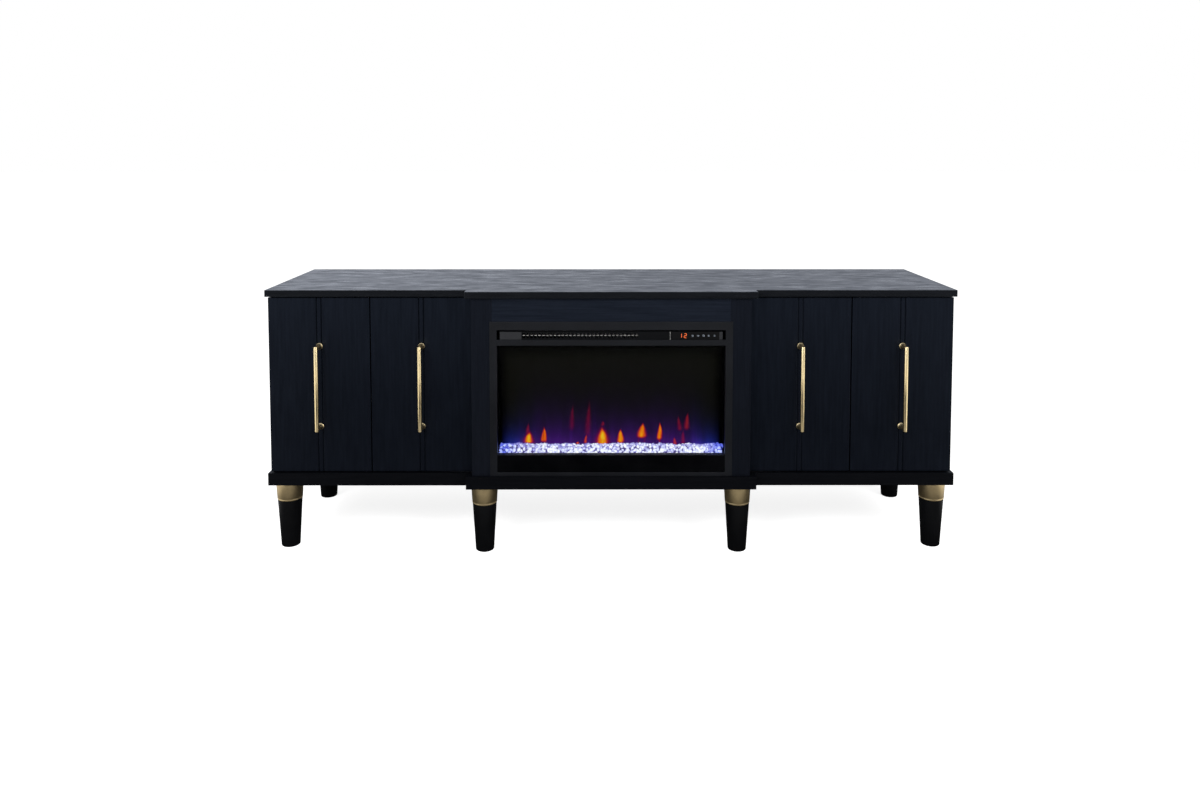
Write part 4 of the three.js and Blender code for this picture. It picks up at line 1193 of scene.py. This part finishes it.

# %% [markdown]
# ## The screen and the flames
# Behind the crystals hangs a dark film. Lamps and a turning rotor throw moving light on it, which looks
# like flames that rise from the bed. The screen itself gets a low painted glow that stands in for the
# lamps' light on it, blue at the ends and violet between, and fading upwards.

# %% Glow on the screen
# in metres: where the glow starts, turns blue, and fades out at the sides and the top
GLOW_FOOT = 0.285
GLOW_BLUE = (0.19, 0.27)
GLOW_SIDES = (0.297, 0.272)
GLOW_TOP = (0.535, 0.505)
# how fast it fades upwards between the ends and at them
FADE_RATES = (-27.0, -50.0)
film, tree, shader = new_finish("flame_film")
where = axes(tree)
across = without_sign(where[0])
height = maths("SUBTRACT", where[2], GLOW_FOOT)
rise, steep = [maths("EXPONENT", times(height, rate)) for rate in FADE_RATES]
wisps = speckle(stretched(tree, 34.0, 34.0, 7.0), 3.0, 0.6, 0.6)
at_end = remap(across, *GLOW_BLUE)
hue = mixed(at_end, (0.034, 0.0038, 0.115), (0.006, 0.012, 0.16))
amount = times(between(at_end, rise, steep), remap(wisps, 0.3, 0.7, 0.6, 1.35))
lit_part = put(tree, "VectorMath", {0: hue, "Scale": amount}, operation="SCALE")
# haze is a faint even painted glow laid over the whole film
haze = put(tree, "VectorMath", {0: lit_part, 1: (0.0042, 0.0042, 0.0028)}, operation="ADD")
mottle = speckle(stretched(tree, 90.0), 2.0)
inside = remap(across, *GLOW_SIDES)
below_top = remap(where[2], *GLOW_TOP)
fill(shader, {
    "Emission Color": haze,
    "Emission Strength": times(inside, below_top),
    "Roughness": remap(mottle, 0.3, 0.7, 0.5, 0.66),
    "Base Color": (0.0015, 0.0015, 0.0015),
    "Specular IOR Level": 0.03,
})
dress(["flame_screen"], film, 0.0002, 1)
print("screen glow:", film.name)

# %% [markdown]
# ### Flames
# A flame is a drop of light: wide and yellow low down, orange and red towards its edge and its tip. It
# could be painted in the screen's finish, but shapes of their own give clean outlines. Each is a small
# sheet just in front of the screen, with a glow stored at every corner that is full in the middle and
# nothing at the rim, so the sheet fades out before it ends. Wide rows of low heat make a halo behind
# the two largest flames.

# %% Shape the flames
FLAME_ROWS = 16
FLAME_COLUMNS = 9
FLAME_Y = -0.1428
FLAME_STEP = 0.00002
FLAME_LIFT = 0.0018
FLAME_SPREAD = 1.55
FLAME_SWAY = 0.0016
FOOT_FADE = 0.18
TIP_FADE = 0.3
# each row: middle, foot, tip, half width, lean, heat
FLAMES = [
    (-0.2235, 0.258, 0.312, 0.0190, 0.001, 0.26),
    (-0.2235, 0.268, 0.305, 0.0115, 0.001, 0.96),
    (-0.2250, 0.290, 0.330, 0.0060, 0.000, 0.26),
    (-0.1850, 0.272, 0.313, 0.0062, 0.002, 0.64),
    (-0.1790, 0.270, 0.321, 0.0055, -0.002, 0.68),
    (-0.1070, 0.302, 0.384, 0.0070, 0.005, 0.17),
    (-0.0630, 0.280, 0.398, 0.0085, 0.004, 0.18),
    (-0.0900, 0.268, 0.276, 0.0050, 0.001, 0.62),
    (-0.0690, 0.268, 0.298, 0.0046, 0.002, 0.50),
    (-0.0225, 0.256, 0.326, 0.0230, -0.001, 0.30),
    (-0.0225, 0.262, 0.318, 0.0150, -0.001, 1.00),
    (-0.0225, 0.318, 0.334, 0.0048, 0.001, 0.30),
    (0.0260, 0.268, 0.313, 0.0092, 0.002, 0.92),
    (0.0840, 0.282, 0.330, 0.0120, 0.002, 0.84),
    (0.0770, 0.262, 0.292, 0.0032, -0.002, 0.20),
    (0.0905, 0.262, 0.292, 0.0032, 0.003, 0.20),
    (0.1320, 0.276, 0.332, 0.0070, 0.002, 0.80),
    (0.1320, 0.262, 0.284, 0.0030, 0.000, 0.42),
    (0.1735, 0.262, 0.290, 0.0062, 0.001, 0.42),
    (0.1880, 0.302, 0.350, 0.0062, -0.004, 0.26),
    (0.2050, 0.304, 0.360, 0.0075, 0.005, 0.32),
    (0.1960, 0.262, 0.312, 0.0065, 0.002, 0.24),
]


def drop_width(share):
    """Width of a flame at a share of its height, about 1 at the widest place."""
    return (share + 0.03) ** 0.35 * (1.0 - share) ** 1.1 * 2.1


corners = []
glows = []
heats = []
faces = []
for number, (middle, foot, tip, half, lean, heat) in enumerate(FLAMES):
    first = len(corners)
    for level in range(FLAME_ROWS + 1):
        share = level / FLAME_ROWS
        sway = lean * share + FLAME_SWAY * math.sin(5.0 * share + 40.0 * middle) * share
        z = FLAME_LIFT + foot + (tip - foot) * share
        fade = min(1.0, share / FOOT_FADE) * min(1.0, (1.0 - share) / TIP_FADE)
        for column in range(FLAME_COLUMNS):
            across = 2.0 * column / (FLAME_COLUMNS - 1) - 1.0
            x = middle + sway + FLAME_SPREAD * half * drop_width(share) * across
            corners.append(Vector((x, FLAME_Y - FLAME_STEP * number, z)))
            glows.append((1.0 - across * across) ** 2.0 * fade)
            heats.append(heat)
    for level in range(FLAME_ROWS):
        for column in range(FLAME_COLUMNS - 1):
            base = first + level * FLAME_COLUMNS + column
            faces.append((base, base + 1, base + FLAME_COLUMNS + 1, base + FLAME_COLUMNS))
print("flames:", len(FLAMES), "with", len(faces), "faces in all")

# %% Burn them
flame, tree, shader = new_finish("flame_light")
glow = put(tree, "Attribute", out="Fac", attribute_name="glow")
heat = put(tree, "Attribute", out="Fac", attribute_name="hotness")
lick = speckle(stretched(tree, 160.0, 160.0, 60.0), 2.0)
core = times(glow, remap(lick, 0.25, 0.75, 0.75, 1.1))
warmth = times(core, heat)
cover = times(core, remap(heat, 0.2, 0.8, 0.3, 1.25))
fill(shader, {
    "Emission Color": shades(
        warmth, (0.0, (0.32, 0.004, 0.06)), (0.2, (0.6, 0.008, 0.05)), (0.38, (0.92, 0.06, 0.012)),
        (0.6, (0.96, 0.17, 0.006)), (0.84, (0.92, 0.36, 0.01)), (1.0, (0.86, 0.6, 0.02))),
    "Emission Strength": remap(warmth, 0.0, 0.9, 0.45, 1.1),
    "Alpha": remap(cover, 0.0, 0.85),
    "Base Color": (0.0, 0.0, 0.0),
    "Specular IOR Level": 0.0,
})
flames = keep("flames", (corners, faces), flame, 180.0)
for label, values in (("glow", glows), ("hotness", heats)):
    stored = flames.data.attributes.new(label, "FLOAT", "POINT")
    stored.data.foreach_set("value", values)
print("glow reaches", round(max(glows), 2), "and heat", max(heats))

# %% [markdown]
# ## Floor, room and lamps
# The console stands on a plain white floor in a white room. The background has to look white without
# lighting the console any brighter, so the world and the floor show white only to rays that come from
# the camera or through glass. What a gloss on the console shows of them is drawn apart: in a gloss the
# floor carries a painted shadow close to the cabinet, except for a strip of painted light in front of it,
# and painted light far ahead and at the sides. The room is darker in front, behind the camera, as a
# studio is, so the black doors keep a quiet reflection and the top shows the bright wall behind it.

# %% White floor that keeps the shadow
def ray_kinds(tree):
    """1 for a ray from the camera or through glass, and 1 for a ray that a gloss sends out."""
    path = put(tree, "LightPath").node.outputs
    return larger(path["Is Camera Ray"], path["Is Transmission Ray"]), path["Is Glossy Ray"]


# where the floor changes in a gloss, in metres from the middle of the cabinet
BESIDE = (1.05, 1.3)
AHEAD = (-0.6, -0.8)
BEHIND = (0.3, 0.8)
FAR_AHEAD = (-1.7, -4.2)
STRIP_FRONT = (-0.72, -0.6)
STRIP_BACK = (-0.3, -0.42)
# the bright floor at the sides ends on a slant
SLANT = 0.78
SLANT_RANGE = (0.45, 0.85)
BRIGHT, STRIP_LIGHT, DARK = 1.4, 0.5, 0.03
floor_finish = bpy.data.materials.new("white_floor")
tree = empty_tree(floor_finish)
seen, in_gloss = ray_kinds(tree)
spot = put(tree, "NewGeometry", out="Position")
where = put(tree, "SeparateXYZ", {0: spot}).node.outputs
across = without_sign(where[0])
slanted = plus(across, times(where[1], SLANT))
# in a gloss the floor carries a painted shadow of the cabinet where clear is 0; sides, far and near are
# painted light
clear = larger(remap(across, *BESIDE), remap(where[1], *AHEAD))
clear = larger(clear, remap(where[1], *BEHIND))
sides = times(remap(slanted, *SLANT_RANGE, 0.0, BRIGHT), clear)
far = remap(where[1], *FAR_AHEAD, DARK, BRIGHT)
near = times(remap(where[1], *STRIP_FRONT, 0.0, STRIP_LIGHT), remap(where[1], *STRIP_BACK))
mirrored = put(tree, "Emission", {"Strength": larger(sides, larger(far, near))})
paint = put(tree, "BsdfDiffuse", {"Color": (0.75, 0.75, 0.75), "Roughness": 0.5})
shine = put(tree, "Emission", {"Strength": 0.8})
white = put(tree, "AddShader", {0: paint, 1: shine})
direct = put(tree, "MixShader", {0: seen, 1: paint, 2: white})
either = put(tree, "MixShader", {0: in_gloss, 1: direct, 2: mirrored})
put(tree, "OutputMaterial", {"Surface": either})

FLOOR_HALF = 40
floor_corners = [(x * FLOOR_HALF, y * FLOOR_HALF, 0) for x, y in ((-1, -1), (1, -1), (1, 1), (-1, 1))]
floor_mesh = mesh_of("floor", floor_corners, [(0, 1, 2, 3)])
floor_mesh.materials.append(floor_finish)
floor = stand("floor", floor_mesh)
floor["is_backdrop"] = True
print("floor:", floor.name)

# %% The room
ROOM_LIGHT = 0.42
# how bright the walls are in a gloss: in front and behind, then to the left and to the right
FRONT_WALL, REAR_WALL = 0.14, 1.05
LEFT_WALL, RIGHT_WALL = 1.04, 0.8
world = bpy.data.worlds.new("room")
bpy.context.scene.world = world
tree = empty_tree(world)
seen, in_gloss = ray_kinds(tree)
along = axes(tree, "Generated")
aside = plus(along[1], times(without_sign(along[0]), 0.9))
walls = remap(aside, -0.7, -0.1, FRONT_WALL, REAR_WALL)
mirrored = times(walls, remap(along[0], -0.26, 0.04, LEFT_WALL, RIGHT_WALL))
plain = between(in_gloss, ROOM_LIGHT, mirrored)
sky = put(tree, "Background", {
    "Color": mixed(in_gloss, (1.0, 1.0, 1.0), (0.83, 0.88, 1.0)),
    "Strength": between(seen, plain, 1.0),
})
put(tree, "OutputWorld", {"Surface": sky})
print("room:", world.name)

# %% [markdown]
# ### Lamps
# Two large soft boxes hang above and in front, one to each side, and light the fronts from above. Their
# size keeps shadows soft, and their height makes the upper part of the doors a little brighter.

# %% Two soft boxes
def soft_box(name, place, aim, width, height, power):
    """A rectangular area lamp that looks at a point."""
    lamp = bpy.data.lights.new(name, "AREA")
    lamp.shape = "RECTANGLE"
    lamp.size = width
    lamp.size_y = height
    lamp.energy = power
    hung = stand(name, lamp)
    hung.location = place
    hung.rotation_euler = (Vector(aim) - Vector(place)).to_track_quat("-Z", "Y").to_euler()


soft_box("soft_box_left", (-1.7, -2.4, 2.3), (-0.2, 0, 0.45), width=1.8, height=1.2, power=62)
soft_box("soft_box_right", (1.9, -2.2, 2.2), (0.3, 0, 0.45), width=1.6, height=1.2, power=48)
print("lamps:", [lamp.name for lamp in bpy.data.lights])

# %% [markdown]
# ## Camera
# The photograph was taken from above the top board, a little left of the middle, and the frame was then
# shifted down so that upright lines stay nearly upright. The place, tilt, lens and shift come from a fit
# to the edges of the console in the photograph.

# %% Set the camera
lens = bpy.data.cameras.new("camera")
lens.sensor_width = 36.0
lens.lens = 27.01
lens.shift_y = -0.165
camera = stand("camera", lens)
camera.location = (-0.03308, -2.55061, 1.06897)
camera.rotation_euler = (math.radians(90.0 - 3.31), 0.0, -0.0016)
bpy.context.scene.camera = camera
bpy.context.scene.view_settings.view_transform = "Standard"
print("camera at", [round(value, 3) for value in camera.location])

# %% [markdown]
# ## Measure
# The finished console has to stay as big as the model. Both boxes are put side by side in a table, and
# the last line prints how far the dressed console has grown past the model.

# %% Measure the sizes
dressed_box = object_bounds()
sizes = {"model": [list(corner) for corner in model_box], "dressed": [list(corner) for corner in dressed_box]}
print("grown by, in mm:", [round(1000 * (a - b), 2) for a, b in zip(dressed_box[1], model_box[1])])
